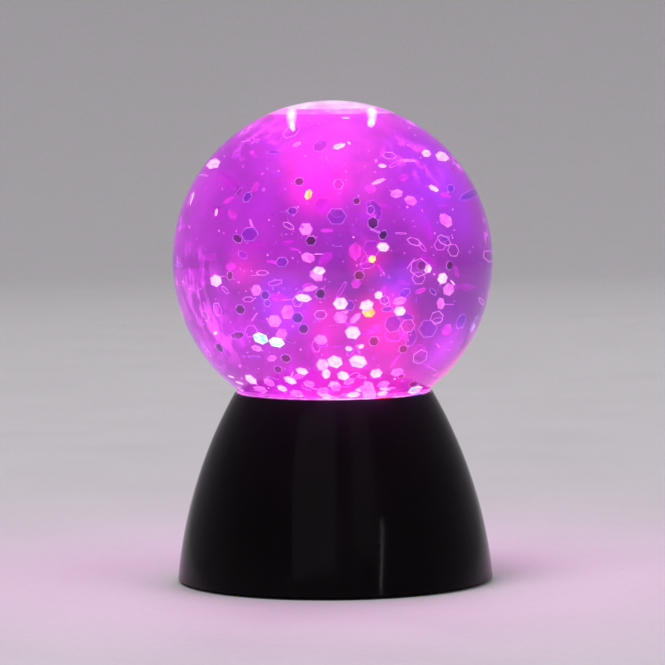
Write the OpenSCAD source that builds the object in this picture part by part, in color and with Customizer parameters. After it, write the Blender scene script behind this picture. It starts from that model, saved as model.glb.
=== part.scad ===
// Glitter water ball lamp: a globe of water and glitter on a black base that lights and stirs it.
// Millimetres, +Z up. The origin is the middle of the footprint, where the feet stand. The front is -Y.

/* [Globe] */
// Outside diameter of the globe
globe_d = 100; // [90:1:110]
// Wall of the globe
globe_wall = 2; // [1.5:0.1:3]
// Outside diameter of the neck under the globe
neck_d = 40; // [36:0.5:44]
// Wall of the neck
neck_wall = 2; // [1.6:0.1:2.6]
// How far the neck reaches below the globe
neck_h = 5.6; // [5:0.1:8]
// Radius of the air bubble's edge at the top of the water
bubble_r = 15; // [8:0.5:20]
// Thickness of the clear ring that the globe rests on
gasket_t = 0.8; // [0.5:0.1:1.5]

/* [Glitter] */
// Smallest flake, across its corners
flake_min = 2.6; // [2:0.1:3]
// Largest flake, across its corners
flake_max = 4; // [3:0.1:4.5]
// Thickness of a flake
flake_t = 0.15; // [0.1:0.05:0.3]
// Area that one flake has to itself on its layer
flake_area = 200; // [160:10:800]
// Distance between two layers of flakes
flake_step = 7.5; // [6:0.5:10]
// Crowding of the flakes towards the bottom, where 1 is even
flake_crowd = 0.65; // [0.6:0.05:1]
// Area that one flake has to itself in the heap at the bottom
heap_area = 45; // [40:5:120]

/* [Base] */
// Radius of the arc that the side of the base follows
side_r = 145; // [120:5:300]
// Wall of the base
base_wall = 2.2; // [1.8:0.1:3]
// Flat land on the rim, outside the globe's seat
rim_land = 1; // [0.6:0.1:2]
// Room between the corners of the battery box and the foot of the base
side_room = 10.5; // [9.5:0.5:16]
// Thickness of the bottom plate
plate_t = 2; // [1.8:0.1:3]
// Height that the rubber feet lift the base
foot_lift = 1; // [0.6:0.1:3]
// Diameter of a rubber foot
foot_d = 10; // [7:0.5:10.5]

/* [Batteries] */
// Diameter of a cell
cell_d = 14.5; // [13.7:0.1:15]
// Length of a cell with its nub
cell_l = 50.5; // [49.5:0.1:52]
// Length of a battery spring with the cell in place
spring_l = 5; // [4:0.5:7]
// Wall of the battery box
box_wall = 2; // [1.5:0.1:3]
// Roof of the battery box
roof_t = 1.5; // [1.2:0.1:3]
// How far the battery door reaches past the box to its screw
door_ear = 8; // [7:0.5:9]

/* [Drive] */
// Diameter of the motor
motor_d = 24.4; // [20:0.1:26]
// Height of the motor
motor_h = 12.3; // [10:0.1:16]
// Room between the battery box and the motor
motor_room = 4; // [3.5:0.5:10]
// Diameter of the motor's shaft
shaft_d = 2; // [1.5:0.1:2.5]
// Thickness of the steel bracket
bracket_t = 1.5; // [1.2:0.1:2]
// Width of the steel bracket
bracket_w = 14; // [10:0.5:18]
// Height of the disc that carries the drive magnets
carrier_h = 3.4; // [3.2:0.1:5]
// Gap that the magnets drive across, below the cap
drive_gap = 0.8; // [0.5:0.1:1.5]
// Diameter of a magnet
magnet_d = 6; // [4:0.5:7]
// Thickness of a magnet
magnet_h = 2.5; // [1.5:0.1:2.6]
// Height of the impeller's blades above its disc
blade_h = 7.5; // [4:0.5:9]
// Thickness of a blade
blade_t = 1; // [0.8:0.1:1.6]
// Tilt of the blades
blade_tilt = 18; // [0:1:25]

/* [Lamps] */
// Diameter of an LED
led_d = 5; // [4:0.1:5.6]
// Height of an LED from its flange to its tip
led_h = 8.6; // [7:0.1:9]
// Thickness of the circuit board
board_t = 1.6; // [1:0.1:2]
// Thickness of the white dish
dish_t = 1.5; // [1.2:0.1:2.5]
// Wall of the nut on the neck
nut_wall = 2.8; // [2.2:0.1:4]
// Height of the nut on the neck
nut_h = 4; // [3:0.1:4.4]

/* [Switch] */
// Height of the switch above the floor
switch_z = 14; // [12:0.5:22]
// Travel of the knob
knob_travel = 4; // [2:0.5:5]
// Width of the knob
knob_w = 5; // [4:0.5:7]
// Height of the knob
knob_h = 4.6; // [4:0.1:6]

/* [Hidden] */
$fn = 96;
// Segments of the large arcs
arc_fn = 360;
// Overshoot of a cut past a face
cut = 1;
// Gap around a piece that is pressed or glued in
press_gap = 0.02;
// Gap around a turning shaft
run_gap = 0.05;
// Gap beside a piece that moves or drops in
free_gap = 0.25;
// Gap around a plain part in its hole
slip_gap = 0.4;
// Gap under a turning disc
lift_gap = 0.3;
// Golden angle, which spreads the flakes
golden = 137.508;

// Feet and bottom plate
foot_r = foot_d / 2;
foot_sink = 0.8;
plate_z = foot_lift;
plate_top = plate_z + plate_t;

// Battery box and cells, which lie along Y
cell_count = 3;
cell_gap = 0.3;
cell_pitch = cell_d + cell_gap;
nub_r = 2.75;
nub_h = 1;
contact_t = 0.5;
contact_w = 11;
contact_h = 10;
tab_w = 3;
tab_rise = 3;
box_in_x = (cell_count * cell_pitch + cell_gap) / 2;
box_in_y = (cell_l + spring_l) / 2 + contact_t;
box_x = box_in_x + box_wall;
box_y = box_in_y + box_wall;
cell_z = plate_top + cell_gap + cell_d / 2;
roof_z = cell_z + cell_d / 2 + cell_gap;
roof_top = roof_z + roof_t;
spring_wire_r = 0.4;
spring_big_r = 4.2;
spring_small_r = 2.6;
spring_turns = 3.5;
spring_steps = 42;
spring_sides = 6;

// Drive, stacked on the battery box
motor_r = motor_d / 2;
motor_z = roof_top + motor_room;
motor_top = motor_z + motor_h;
motor_boss_r = 3.2;
motor_boss_h = 1;
motor_floor = 3;
terminal_w = 1.6;
terminal_t = 0.6;
terminal_l = 2.4;
terminal_x = 3;
terminal_rise = 1.4;
terminal_z = motor_z + terminal_rise;
shaft_r = shaft_d / 2;
shaft_grip = 2.2;
bracket_top = motor_top + bracket_t;
leg_room = 2.8;
leg_x = motor_r + leg_room;
bracket_foot = 8;
bracket_boss_r = 2.8;
bracket_boss_h = 2.5;
bracket_foot_z = roof_top + bracket_boss_h;
bracket_screw_x = leg_x + bracket_t + bracket_foot / 2;
motor_screw_x = 8;
carrier_z = bracket_top + drive_gap;
carrier_top = carrier_z + carrier_h;
magnet_r = magnet_d / 2;

// Cap and neck, above the drive gap
neck_r = neck_d / 2;
neck_in = neck_r - neck_wall;
cap_z = carrier_top + drive_gap;
cap_flange = 2;
cap_floor = 1.6;
cap_skin = 0.4;
neck_z = cap_z + cap_flange;
plug_gap = 0.15;
plug_r = neck_in - plug_gap;
plug_wall = 3.35;
plug_in = plug_r - plug_wall;
plug_h = 3.6;
plug_top = neck_z + plug_h;
seal_r = 0.85;
seal_ring_r = neck_in - seal_r - press_gap;
seal_z = (neck_z + plug_top) / 2;

// Impeller on its pin
hub_room = 2.5;
hub_r = plug_in - hub_room;
hub_z = cap_z + cap_floor + lift_gap;
hub_h = 3.7;
hub_top = hub_z + hub_h;
magnet_edge = 1;
magnet_ring_r = hub_r - magnet_r - magnet_edge;
blade_in = 3.8;
blade_room = 1.3;
blade_out = plug_in - blade_room;
blade_sink = 1;
blade_count = 4;
pin_r = 1;
retainer_r = 2.6;
retainer_h = 1.2;
retainer_z = hub_top + free_gap;
cavity_r = plug_in - slip_gap;
cavity_top = hub_top + blade_h + 2 * lift_gap;

// Globe and what fills it
globe_r = globe_d / 2;
globe_in = globe_r - globe_wall;
globe_z = neck_z + neck_h + globe_r;
fill_gap = 0.2;
fill_r = globe_in - fill_gap;
level_z = globe_z + sqrt(pow(fill_r, 2) - pow(bubble_r, 2));
flake_clear = 0.5;
flake_room = flake_max / 2 + flake_clear;
flake_layers = 5;
// Outer layers that leave the front free, and how far behind the middle of the globe they start
front_layers = 2;
front_edge = 8;
// Steps from flake to flake and from layer to layer that make them look unordered
flake_size_step = [29, 3];
flake_tilt_step = [77, 53];
flake_turn_step = [131, 37];
flake_sizes = 10;
// Heap at the bottom, in levels of flakes that lie nearly flat
heap_levels = 4;
heap_step = 3;
heap_tilt = 35;
heap_room = flake_max + flake_clear;

// Flakes at the front, where the photograph shows them. Each kind lies on a shell of its own.
photo_middle = [332.4, 261.4];
photo_r = 160.3;
photo_tilt = 2.8;
photo_far = 1187;
water_bend = 1.33;
// Depth of the outermost shell and step from shell to shell, by the globe's radius
shell_depth = 0.06;
shell_step = 0.032;
// Pixel across, pixel down, width in pixels, height by width, turn
clear_flakes = [
    [289, 226, 13, 0.45, -30], [414, 243, 16, 0.5, -15], [444, 242, 17, 0.6, -20], [390, 157, 15, 0.7, 0],
    [320, 315, 13, 0.7, 0], [384, 301, 10, 0.9, 30], [419, 358, 17, 0.85, 30], [419, 269, 20, 0.9, 20],
    [436, 319, 15, 0.9, 10], [407, 327, 15, 0.95, 0], [453, 252, 14, 0.95, 0],
];
dark_flakes = [
    [300, 182, 10, 0.95, 0], [311, 241, 11, 0.95, 0], [357, 202, 8, 1, 0], [373, 224, 13, 0.85, 90],
    [383, 236, 11, 0.7, 60], [230, 275, 10, 0.8, 80], [320, 294, 11, 0.9, 60], [265, 295, 10, 1, 0],
    [240, 309, 11, 1, 0], [297, 318, 12, 1, 0], [303, 329, 11, 1, 0], [373, 342, 11, 0.95, 0],
    [219, 347, 11, 0.55, -60], [277, 369, 9, 0.85, -30], [285, 358, 11, 0.8, -15], [421, 267, 11, 0.9, 70],
    [449, 267, 10, 0.7, 80], [402, 350, 10, 0.85, 20], [359, 276, 11, 0.9, 0], [197, 318, 10, 0.4, 80],
    [205, 315, 12, 0.4, -60], [400, 377, 8, 0.5, 10], [412, 385, 11, 0.5, 10],
];
hot_flakes = [
    [214, 163, 22, 0.58, -40], [340, 147, 14, 0.6, 25], [347, 119, 9, 0.6, 0], [443, 158, 19, 0.65, 43],
    [434, 190, 12, 0.65, -15], [383, 248, 13, 0.75, -5], [319, 271, 13, 0.65, -5], [303, 298, 17, 0.42, -8],
    [216, 280, 14, 0.85, -20], [340, 304, 15, 0.85, 0], [366, 306, 15, 0.7, 20], [378, 296, 9, 0.9, 40],
    [399, 312, 13, 0.75, 0], [352, 333, 16, 0.85, -10], [357, 362, 19, 0.65, -15], [334, 362, 16, 0.8, -20],
    [342, 376, 13, 0.7, -20], [375, 374, 13, 0.75, 5], [301, 371, 13, 0.45, -15], [289, 380, 14, 0.4, -25],
    [281, 388, 11, 0.45, -25], [250, 379, 14, 0.5, -40], [325, 374, 12, 0.75, 80], [442, 280, 12, 0.9, 70],
    [427, 270, 10, 0.9, 0], [217, 212, 8, 0.6, 85], [193, 198, 14, 0.3, 80], [452, 284, 8, 0.3, -40],
    [215, 332, 6, 0.7, 20], [348, 349, 8, 0.6, -10], [360, 347, 7, 0.6, 20], [427, 155, 12, 0.75, 48],
    [383, 167, 9, 0.65, 0], [350, 144, 5, 0.6, -60], [294, 127, 14, 0.35, -82], [372, 124, 14, 0.5, 88],
    [381, 394, 12, 0.35, 0], [352, 395, 14, 0.3, 3],
];
ice_flakes = [[260, 338, 16, 0.6, -20], [276, 342, 16, 0.55, -10], [414, 391, 15, 0.4, 3]];
pale_flakes = [
    [298, 145, 9, 0.65, 30], [408, 162, 17, 0.35, 5], [397, 195, 13, 0.7, 20], [411, 202, 13, 0.8, -10],
    [308, 258, 14, 0.7, -20], [310, 289, 15, 0.3, 12], [256, 290, 12, 0.9, 60], [274, 321, 14, 0.9, 0],
    [256, 348, 11, 0.4, -15], [320, 340, 13, 0.7, -10], [399, 302, 14, 0.5, 15], [340, 318, 14, 0.85, 0],
    [448, 291, 13, 0.9, 40], [440, 305, 12, 0.8, -75], [382, 385, 12, 0.45, 10], [446, 222, 16, 0.85, -30],
    [259, 389, 14, 0.35, -10], [348, 382, 11, 0.4, 20], [322, 391, 12, 0.5, 0], [335, 388, 10, 0.6, 10],
    [308, 384, 11, 0.5, -15], [396, 373, 13, 0.5, 10], [362, 389, 9, 0.5, -20], [295, 393, 12, 0.4, -5],
    [268, 382, 12, 0.45, -30],
];
violet_flakes = [
    [293, 211, 11, 0.8, 0], [282, 262, 13, 0.8, 0], [267, 303, 8, 1, 0], [451, 190, 9, 0.85, 60],
    [371, 211, 10, 0.8, 80], [250, 234, 18, 0.85, 0], [337, 217, 20, 0.9, 0], [427, 330, 20, 0.9, 0],
    [392, 325, 18, 0.9, 70], [460, 323, 15, 0.4, 65], [248, 197, 12, 0.8, 60],
];
pink_flakes = [
    [229, 200, 13, 0.55, 20], [233, 214, 12, 0.6, -60], [256, 187, 12, 0.7, 60], [327, 231, 14, 0.3, -2],
    [446, 197, 12, 0.5, -10], [404, 179, 12, 0.65, 30], [371, 190, 12, 0.75, 0], [355, 252, 17, 0.75, 88],
    [231, 266, 12, 0.6, 0], [374, 330, 15, 0.55, 5], [446, 331, 12, 0.75, 50], [247, 141, 9, 0.4, 5],
    [254, 154, 12, 0.3, -50], [420, 292, 13, 0.3, 20],
];
yellow_flakes = [[309, 195, 11, 0.65, 75], [368, 313, 13, 0.75, -5], [372, 260, 8, 0.85, 40]];
front_flakes = [
    clear_flakes, dark_flakes, hot_flakes, ice_flakes, pale_flakes, violet_flakes, pink_flakes, yellow_flakes,
];
photo_pixel = globe_r / photo_r;

// Nut, circuit board and lamps, from the neck outwards and from the globe down
led_r = led_d / 2;
led_lip = 0.4;
led_flange_r = led_r + led_lip;
led_flange_h = 1;
led_gap = 0.4;
led_count = 4;
led_pitch = 360 / (2 * led_count);
led_pin_r = 0.25;
led_pin_x = 1.27;
led_pin_l = 2.4;
nut_r = neck_r + nut_wall;
nut_notches = 6;
nut_notch = 2;
board_in = nut_r + lift_gap;
led_ring_r = board_in + led_flange_r;
board_edge = 1;
board_out = led_ring_r + led_r + board_edge;
led_dome_z = globe_z - sqrt(pow(globe_r + led_r + led_gap, 2) - pow(led_ring_r, 2));
board_top = led_dome_z + led_r - led_h;
board_z = board_top - board_t;
dish_z = board_top + led_flange_h;
dish_top = dish_z + dish_t;
nut_z = dish_z - nut_h;
chip_l = 5;
chip_w = 4;
chip_h = 1.5;
chip_angle = 157.5;
resistor_l = 3.2;
resistor_w = 1.6;
resistor_h = 0.6;

// Rim and side of the base
seat_room = 1.5;
seat_r = led_ring_r + led_r + seat_room;
rim_r = seat_r + rim_land;
rim_z = globe_z - sqrt(pow(globe_r + gasket_t, 2) - pow(seat_r, 2));
gasket_w = 2.4;
gasket_in = seat_r - gasket_w;
gasket_proud = 0.25;
base_r = norm([box_x, box_y]) + side_room;
side_foot = [base_r, plate_z];
side_head = [rim_r, rim_z];
side_chord = side_head - side_foot;
side_sag = sqrt(pow(side_r, 2) - pow(norm(side_chord) / 2, 2));
side_in = [-side_chord[1], side_chord[0]] / norm(side_chord);
side_c = (side_foot + side_head) / 2 + side_in * side_sag;
dish_r = wall_r(dish_top) - lift_gap;

// Screws, drawn without threads at the radius of their roots
screw_r = 1;
pilot_r = 1.3;
head_r = 2.5;
head_h = 1.6;
slot_w = 0.7;
slot_share = 1.3;
small_screw_r = 0.7;
small_pilot_r = 0.9;
small_head_r = 1.9;
small_head_h = 1.1;
base_screw_l = 9;
base_boss_r = 3.5;
base_boss_h = 26;
base_cup_r = 4.2;
base_cup_h = 2;
base_cup_t = 1.8;
base_cup_floor = plate_top + base_cup_h - base_cup_t;
plate_r = base_r - base_wall - slip_gap;
base_cup_edge = 1.7;
base_screw_ring = plate_r - base_cup_r - base_cup_edge;
base_screw_angles = [30, 150, 210, 330];
foot_edge = 2;
foot_ring = plate_r - foot_r - foot_edge;
dish_boss_r = 2.8;
dish_screw_ring = dish_r - dish_boss_r;
dish_screw_angles = [22.5, 112.5, 202.5, 292.5];
dish_screw_l = 5;
board_screw_angles = [67.5, 247.5];
board_screw_l = 3.6;
board_spacer_r = 2;

// Battery door, which swings on the lower edge of its +X side
door_x = box_in_x - free_gap;
door_y = box_in_y - free_gap;
door_play = 0.1;
door_top = plate_top - door_play;
door_tab_y = 14;
door_tab_w = 8;
door_tab_reach = 2.8;
door_tab_step = 2.5;
door_tab_z = plate_top + door_play;
door_tab_t = 1.2;
door_notch_h = 2.9;
door_ear_w = 9;
door_screw_in = 3.3;
door_screw_x = -door_x - door_ear + door_screw_in;
door_screw_sink = 1.1;
door_screw_z = plate_z + door_screw_sink;
door_screw_l = 3.5;
door_head_h = 0.9;
door_block_h = 5.5;
door_block_rim = 2;

// Slide switch at the back
pad_half_x = 13;
pad_half_z = 6;
pad_t = 2.8;
pad_y = wall_r(switch_z) - pad_t;
recess_d = 1.9;
recess_room = 1;
recess_y = side_out(switch_z) - recess_d;
knob_proud = 0.6;
knob_y = side_out(switch_z) + knob_proud;
knob_x = -knob_travel / 2;
stem_w = 4;
stem_h = 3;
slider_w = 6.6;
slider_h = 4.4;
slider_t = 2.5;
rib_w = 0.7;
rib_d = 0.5;
switch_flange_t = 0.8;
switch_flange_x = 12.4;
switch_half_x = 7.6;
switch_half_z = 3.8;
switch_depth = 6;
channel_d = slider_t + 2 * free_gap;
switch_screw_x = 10;
switch_screw_l = 3;
switch_back = pad_y - switch_flange_t - switch_depth;
lug_x = 4;
lug_l = 3;

// Wires from terminal to terminal, whose ends follow what they are soldered to
wire_r = 0.6;
wire_sides = 8;
wire_smooth = 4;
wire_ref = [0.8, 0.6, 0.05];
solder_gap = 0.1;
pad_gap = 0.2;
minus_pad = 304;
switch_pad = 101;
motor_pads = [236, 281];
battery_plus_route = [tab_end(1), tab_end(1) + [0, 0.2, 2.3], [-13, 31, 27.5], [-8, 34, 26.5],
    lug_end(-1) + [-0.6, 0, 6.6], lug_end(-1) + [0, 0, 2.1], lug_end(-1)];
battery_minus_route = [tab_end(-1), tab_end(-1) + [0, 0, 2.3], [15.6, -28, 31], [16, -25, 38],
    pad_end(minus_pad) - [0, 0, 3], pad_end(minus_pad)];
switch_route = [lug_end(1), lug_end(1) + [0, 0, 2.6], [3.4, 34, 24], [0, 31, 34], [-4.4, 26.5, 41],
    pad_end(switch_pad) - [0, 0, 2], pad_end(switch_pad)];
motor_plus_route = [motor_end(-1), motor_end(-1) + [0, -0.2, 2.3], [-5, -17.5, 32.5],
    [-12, -21.5, 38], pad_end(motor_pads[0]) - [0, 0, 3], pad_end(motor_pads[0])];
motor_minus_route = [motor_end(1), motor_end(1) + [0, -0.2, 2.3], [3.6, -17.5, 32.5],
    [4.8, -24, 38], pad_end(motor_pads[1]) - [0, 0, 3], pad_end(motor_pads[1])];

// Names of the pieces that repeat
cell_names = [for (i = [1 : cell_count]) str("battery_cell_", i)];
foot_names = [for (i = [1 : 4]) str("foot_", i)];
blue_names = [for (i = [1 : led_count]) str("led_blue_", i)];
red_names = [for (i = [1 : led_count]) str("led_red_", i)];

// Radius of the base's outside at height z
function side_out(z) = side_c[0] + sqrt(pow(side_r, 2) - pow(z - side_c[1], 2));

// Radius of the base's inside at height z
function wall_r(z) = side_c[0] + sqrt(pow(side_r - base_wall, 2) - pow(z - side_c[1], 2));

// A point at radius r and angle a
function polar(r, a) = [r * cos(a), r * sin(a), 0];

// Where a wire meets a battery tab, a switch lug, a motor tag or the circuit board
function tab_end(s) = [-s * cell_pitch, s * (box_in_y - contact_t / 2), roof_top + tab_rise + solder_gap];
function lug_end(s) = [s * lug_x, switch_back - lug_l / 2, switch_z + terminal_t / 2 + solder_gap];
function motor_end(s) = [s * terminal_x, -motor_r - 3 / 4 * terminal_l, terminal_z + terminal_t + solder_gap];
function pad_end(a) = polar(led_ring_r, a) + [0, 0, board_z - pad_gap];

// Is a flake at p wholly in the water, clear of the impeller's room?
function in_water(p) = p[2] < level_z - flake_room
    && (norm([p[0], p[1]]) > cavity_r + flake_room || p[2] > cavity_top + flake_room);

// Flake i of layer k: its layer's radius and count, its direction, crowded towards the bottom, and its place
function layer_r(k) = fill_r - flake_room - cut - k * flake_step;
function layer_count(k) = round(4 * PI * pow(layer_r(k), 2) / flake_area);
function flake_up(i, n) = 1 - 2 * pow((i + 0.5) / n, flake_crowd);
function flake_dir(i, n) = concat(
    sqrt(1 - pow(flake_up(i, n), 2)) * [cos(golden * i), sin(golden * i)], flake_up(i, n));
function drift_at(i, k) = [0, 0, globe_z] + layer_r(k) * flake_dir(i, layer_count(k));
function drifts(p, k) = in_water(p) && (k >= front_layers || p[1] > front_edge);

// Where on a shell of radius r a flake sits to show at [x, z] from the globe's middle, through the water,
// its size by the size that shows, and the place of flake f of the photograph
function shown_angle(d, r) = asin(d / globe_r) - asin(d / globe_r / water_bend) + asin(d / r / water_bend)
    - asin(d / photo_far);
function shown_at(x, z, r) = let (d = norm([x, z]), a = shown_angle(d, r))
    r * [sin(a) * x / d, -cos(a), sin(a) * z / d];
function shown_size(r) = r / globe_r * (1 - 1 / water_bend) + 1 / water_bend;
function lean(p) = [p[0], [p[1], p[2]] * [cos(photo_tilt), sin(photo_tilt)],
    [p[2], -p[1]] * [cos(photo_tilt), sin(photo_tilt)]];
function front_at(f, r) = [0, 0, globe_z]
    + lean(shown_at(photo_pixel * (f[0] - photo_middle[0]), photo_pixel * (photo_middle[1] - f[1]), r));
function front_r(k) = fill_r - globe_r * (shell_depth + k * shell_step);

// Flake i of level k of the heap: its level's height, radius and count, and its place
function heap_z(k) = cavity_top + flake_room + k * heap_step;
function heap_r(k) = sqrt(pow(fill_r - flake_room, 2) - pow(globe_z - heap_z(k), 2));
function heap_count(k) = round(PI * pow(heap_r(k), 2) / heap_area);
function heap_at(i, k) = let (a = golden * (i + k * heap_levels))
    concat(heap_r(k) * sqrt((i + 0.5) / heap_count(k)) * [cos(a), sin(a)], heap_z(k));

// Places that are taken before the heap is filled in
taken = concat(
    [for (k = [0 : flake_layers - 1], i = [0 : layer_count(k) - 1])
        let (p = drift_at(i, k)) if (drifts(p, k)) p],
    [for (k = [0 : len(front_flakes) - 1], f = front_flakes[k]) front_at(f, front_r(k))]);
function is_free(p) = min([for (q = taken) norm(p - q)]) > heap_room;

// Size, tilt and turn of flake i of layer or level k
function flake_size(i, k) = flake_min
    + (flake_max - flake_min) * (([i, k] * flake_size_step) % flake_sizes) / (flake_sizes - 1);
function flake_tilt(i, k) = ([i, k] * flake_tilt_step) % 180;
function flake_turn(i, k) = ([i, k] * flake_turn_step) % 360;

// Tube of radius r along the points p. ref is a direction that the tube never follows.
function unit(v) = v / norm(v);
function tangent(p, i) = unit(p[min(i + 1, len(p) - 1)] - p[max(i - 1, 0)]);
function tube_ring(c, t, ref, r, sides) = let (n = unit(cross(t, ref)), b = cross(t, n))
    [for (k = [0 : sides - 1]) c + r * (cos(360 * k / sides) * n + sin(360 * k / sides) * b)];
function tube_points(p, ref, r, sides) =
    [for (i = [0 : len(p) - 1]) each tube_ring(p[i], tangent(p, i), ref, r, sides)];
function tube_sides(count, sides) = [for (i = [0 : count - 2]) for (k = [0 : sides - 1])
    let (a = i * sides + k, b = i * sides + (k + 1) % sides)
    each [[a, a + sides, b + sides], [a, b + sides, b]]];
function tube_ends(count, sides) = [for (k = [1 : sides - 2]) let (e = (count - 1) * sides)
    each [[0, k, k + 1], [e, e + k + 1, e + k]]];

// Smooth curve through the points p, with n steps between two of them
function curve_point(a, b, c, d, t) = b + t * (c - a) / 2
    + t * t * (2 * a - 5 * b + 4 * c - d) / 2 + t * t * t * (3 * b - a - 3 * c + d) / 2;
function curve(p, n) = [for (i = [0 : len(p) - 2]) for (j = [0 : n - 1])
    curve_point(p[max(i - 1, 0)], p[i], p[i + 1], p[min(i + 2, len(p) - 1)], j / n),
    p[len(p) - 1]];

module tube(p, ref, r, sides) {
    polyhedron(tube_points(p, ref, r, sides),
        concat(tube_sides(len(p), sides), tube_ends(len(p), sides)));
}

module wire(route) {
    tube(curve(route, wire_smooth), wire_ref, wire_r, wire_sides);
}

// Block centred on X and Y, standing on z = 0
module block(x, y, z) {
    translate([-x / 2, -y / 2, 0]) cube([x, y, z]);
}

// Ring standing on z = 0
module ring(outer, inner, h) {
    difference() {
        cylinder(r = outer, h = h);
        translate([0, 0, -cut]) cylinder(r = inner, h = h + 2 * cut);
    }
}

// Screw along +Z: its head ends at z = 0 and its shank starts there
module screw(head, rise, shank, length) {
    difference() {
        union() {
            translate([0, 0, -rise]) cylinder(r = head, h = rise);
            cylinder(r = shank, h = length);
        }
        for (a = [0, 90]) {
            rotate([0, 0, a]) translate([0, 0, -rise - cut]) block(slot_share * head, slot_w, cut + rise / 2);
        }
    }
}

// Outside of the base as a solid form
module base_form() {
    rotate_extrude($fn = arc_fn) intersection() {
        translate(side_c) circle(r = side_r, $fn = arc_fn);
        translate([0, plate_z]) square([base_r + cut, rim_z - plate_z]);
    }
}

// Ring of wall between the two arcs of the base
module base_wall_ring() {
    rotate_extrude($fn = arc_fn) difference() {
        intersection() {
            translate(side_c) circle(r = side_r, $fn = arc_fn);
            translate([seat_r - 3 * base_wall, plate_z]) square([base_r, rim_z - plate_z]);
        }
        translate(side_c) circle(r = side_r - base_wall, $fn = arc_fn);
    }
}

module base_shell() {
    color([0.02, 0.02, 0.025]) difference() {
        union() {
            base_wall_ring();
            intersection() {
                base_form();
                union() {
                    for (a = base_screw_angles) {
                        translate(polar(base_screw_ring, a) + [0, 0, plate_top + base_cup_h])
                            cylinder(r = base_boss_r, h = base_boss_h);
                    }
                    for (a = dish_screw_angles) {
                        translate(polar(dish_screw_ring, a) + [0, 0, dish_top])
                            cylinder(r = dish_boss_r, h = rim_z - dish_top - rim_land);
                    }
                    translate([-pad_half_x, pad_y, switch_z - pad_half_z])
                        cube([2 * pad_half_x, base_r, 2 * pad_half_z]);
                }
            }
        }
        translate([0, 0, globe_z]) sphere(r = globe_r + gasket_t, $fn = arc_fn / 2);
        for (a = base_screw_angles) {
            translate(polar(base_screw_ring, a) + [0, 0, plate_top])
                cylinder(r = pilot_r, h = base_cup_h + base_screw_l);
        }
        for (a = dish_screw_angles) {
            translate(polar(dish_screw_ring, a) + [0, 0, dish_top - cut])
                cylinder(r = small_pilot_r, h = cut + dish_screw_l - dish_t + free_gap);
        }
        for (s = [-1, 1]) {
            translate([s * switch_screw_x, pad_y - cut, switch_z]) rotate([-90, 0, 0])
                cylinder(r = small_pilot_r, h = cut + switch_screw_l - switch_flange_t + free_gap);
        }
        translate([0, pad_y - cut, switch_z - stem_h / 2 - free_gap])
            translate([-(knob_travel + stem_w) / 2 - free_gap, 0, 0])
            cube([knob_travel + stem_w + 2 * free_gap, base_r, stem_h + 2 * free_gap]);
        translate([-(knob_travel + knob_w) / 2 - recess_room, recess_y,
            switch_z - knob_h / 2 - recess_room])
            cube([knob_travel + knob_w + 2 * recess_room, base_r, knob_h + 2 * recess_room]);
    }
}

module seat_gasket() {
    color([0.95, 0.8, 1, 0.6]) rotate_extrude($fn = arc_fn) intersection() {
        translate([0, globe_z]) difference() {
            circle(r = globe_r + gasket_t - press_gap, $fn = arc_fn);
            circle(r = globe_r + press_gap, $fn = arc_fn);
        }
        translate([gasket_in, rim_z - globe_r / 2]) square([seat_r, globe_r / 2 + gasket_proud]);
    }
}

module globe() {
    color([0.9, 0.6, 1, 0.3]) difference() {
        union() {
            translate([0, 0, globe_z]) sphere(r = globe_r, $fn = arc_fn / 2);
            translate([0, 0, neck_z]) cylinder(r = neck_r, h = neck_h + globe_wall + neck_r / 2);
        }
        translate([0, 0, globe_z]) sphere(r = globe_in, $fn = arc_fn / 2);
        translate([0, 0, neck_z - cut]) cylinder(r = neck_in, h = neck_h + globe_r / 2);
    }
}

module liquid_fill() {
    color([0.85, 0.2, 0.95, 0.5]) difference() {
        union() {
            translate([0, 0, globe_z]) sphere(r = fill_r, $fn = arc_fn / 2);
            translate([0, 0, plug_top + lift_gap])
                cylinder(r = neck_in - fill_gap, h = globe_z - globe_in / 2 - plug_top);
        }
        translate([0, 0, level_z]) block(2 * globe_d, 2 * globe_d, globe_r);
        translate([0, 0, neck_z]) cylinder(r = cavity_r, h = cavity_top - neck_z);
    }
}

module flake(p, size, tilt, turn) {
    translate(p) rotate([tilt, 0, turn])
        cylinder(r = size / 2, h = flake_t, center = true, $fn = 6);
}

module drifting_flakes() {
    for (k = [0 : flake_layers - 1], i = [0 : layer_count(k) - 1]) {
        p = drift_at(i, k);
        if (drifts(p, k)) flake(p, flake_size(i, k), flake_tilt(i, k), flake_turn(i, k));
    }
}

module heaped_flakes() {
    for (k = [0 : heap_levels - 1], i = [0 : heap_count(k) - 1]) {
        p = heap_at(i, k);
        if (is_free(p)) flake(p, flake_size(i, k), flake_tilt(i, k) % heap_tilt, flake_turn(i, k));
    }
}

module front_flake(f, r) {
    translate(front_at(f, r)) rotate([90 - photo_tilt, 0, 0])
        flake([0, 0, 0], f[2] * photo_pixel * shown_size(r), acos(f[3]), f[4]);
}

module glitter_flakes() {
    color([0.95, 0.55, 0.95]) {
        drifting_flakes();
        heaped_flakes();
        for (k = [0 : len(front_flakes) - 1], f = front_flakes[k]) front_flake(f, front_r(k));
    }
}

module globe_cap() {
    color([0.85, 0.85, 0.9, 0.6]) difference() {
        translate([0, 0, cap_z]) union() {
            cylinder(r = neck_r, h = cap_flange);
            cylinder(r = plug_r, h = cap_flange + plug_h);
        }
        translate([0, 0, cap_z + cap_floor]) cylinder(r = plug_in, h = cap_flange + plug_h);
        translate([0, 0, cap_z + cap_skin]) cylinder(r = pin_r + press_gap, h = cap_floor);
        rotate_extrude() translate([seal_ring_r - seal_r - press_gap, seal_z - seal_r - press_gap])
            square([2 * seal_r, 2 * (seal_r + press_gap)]);
    }
}

module cap_seal() {
    color([0.15, 0.15, 0.15]) rotate_extrude() translate([seal_ring_r, seal_z]) circle(r = seal_r);
}

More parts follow.
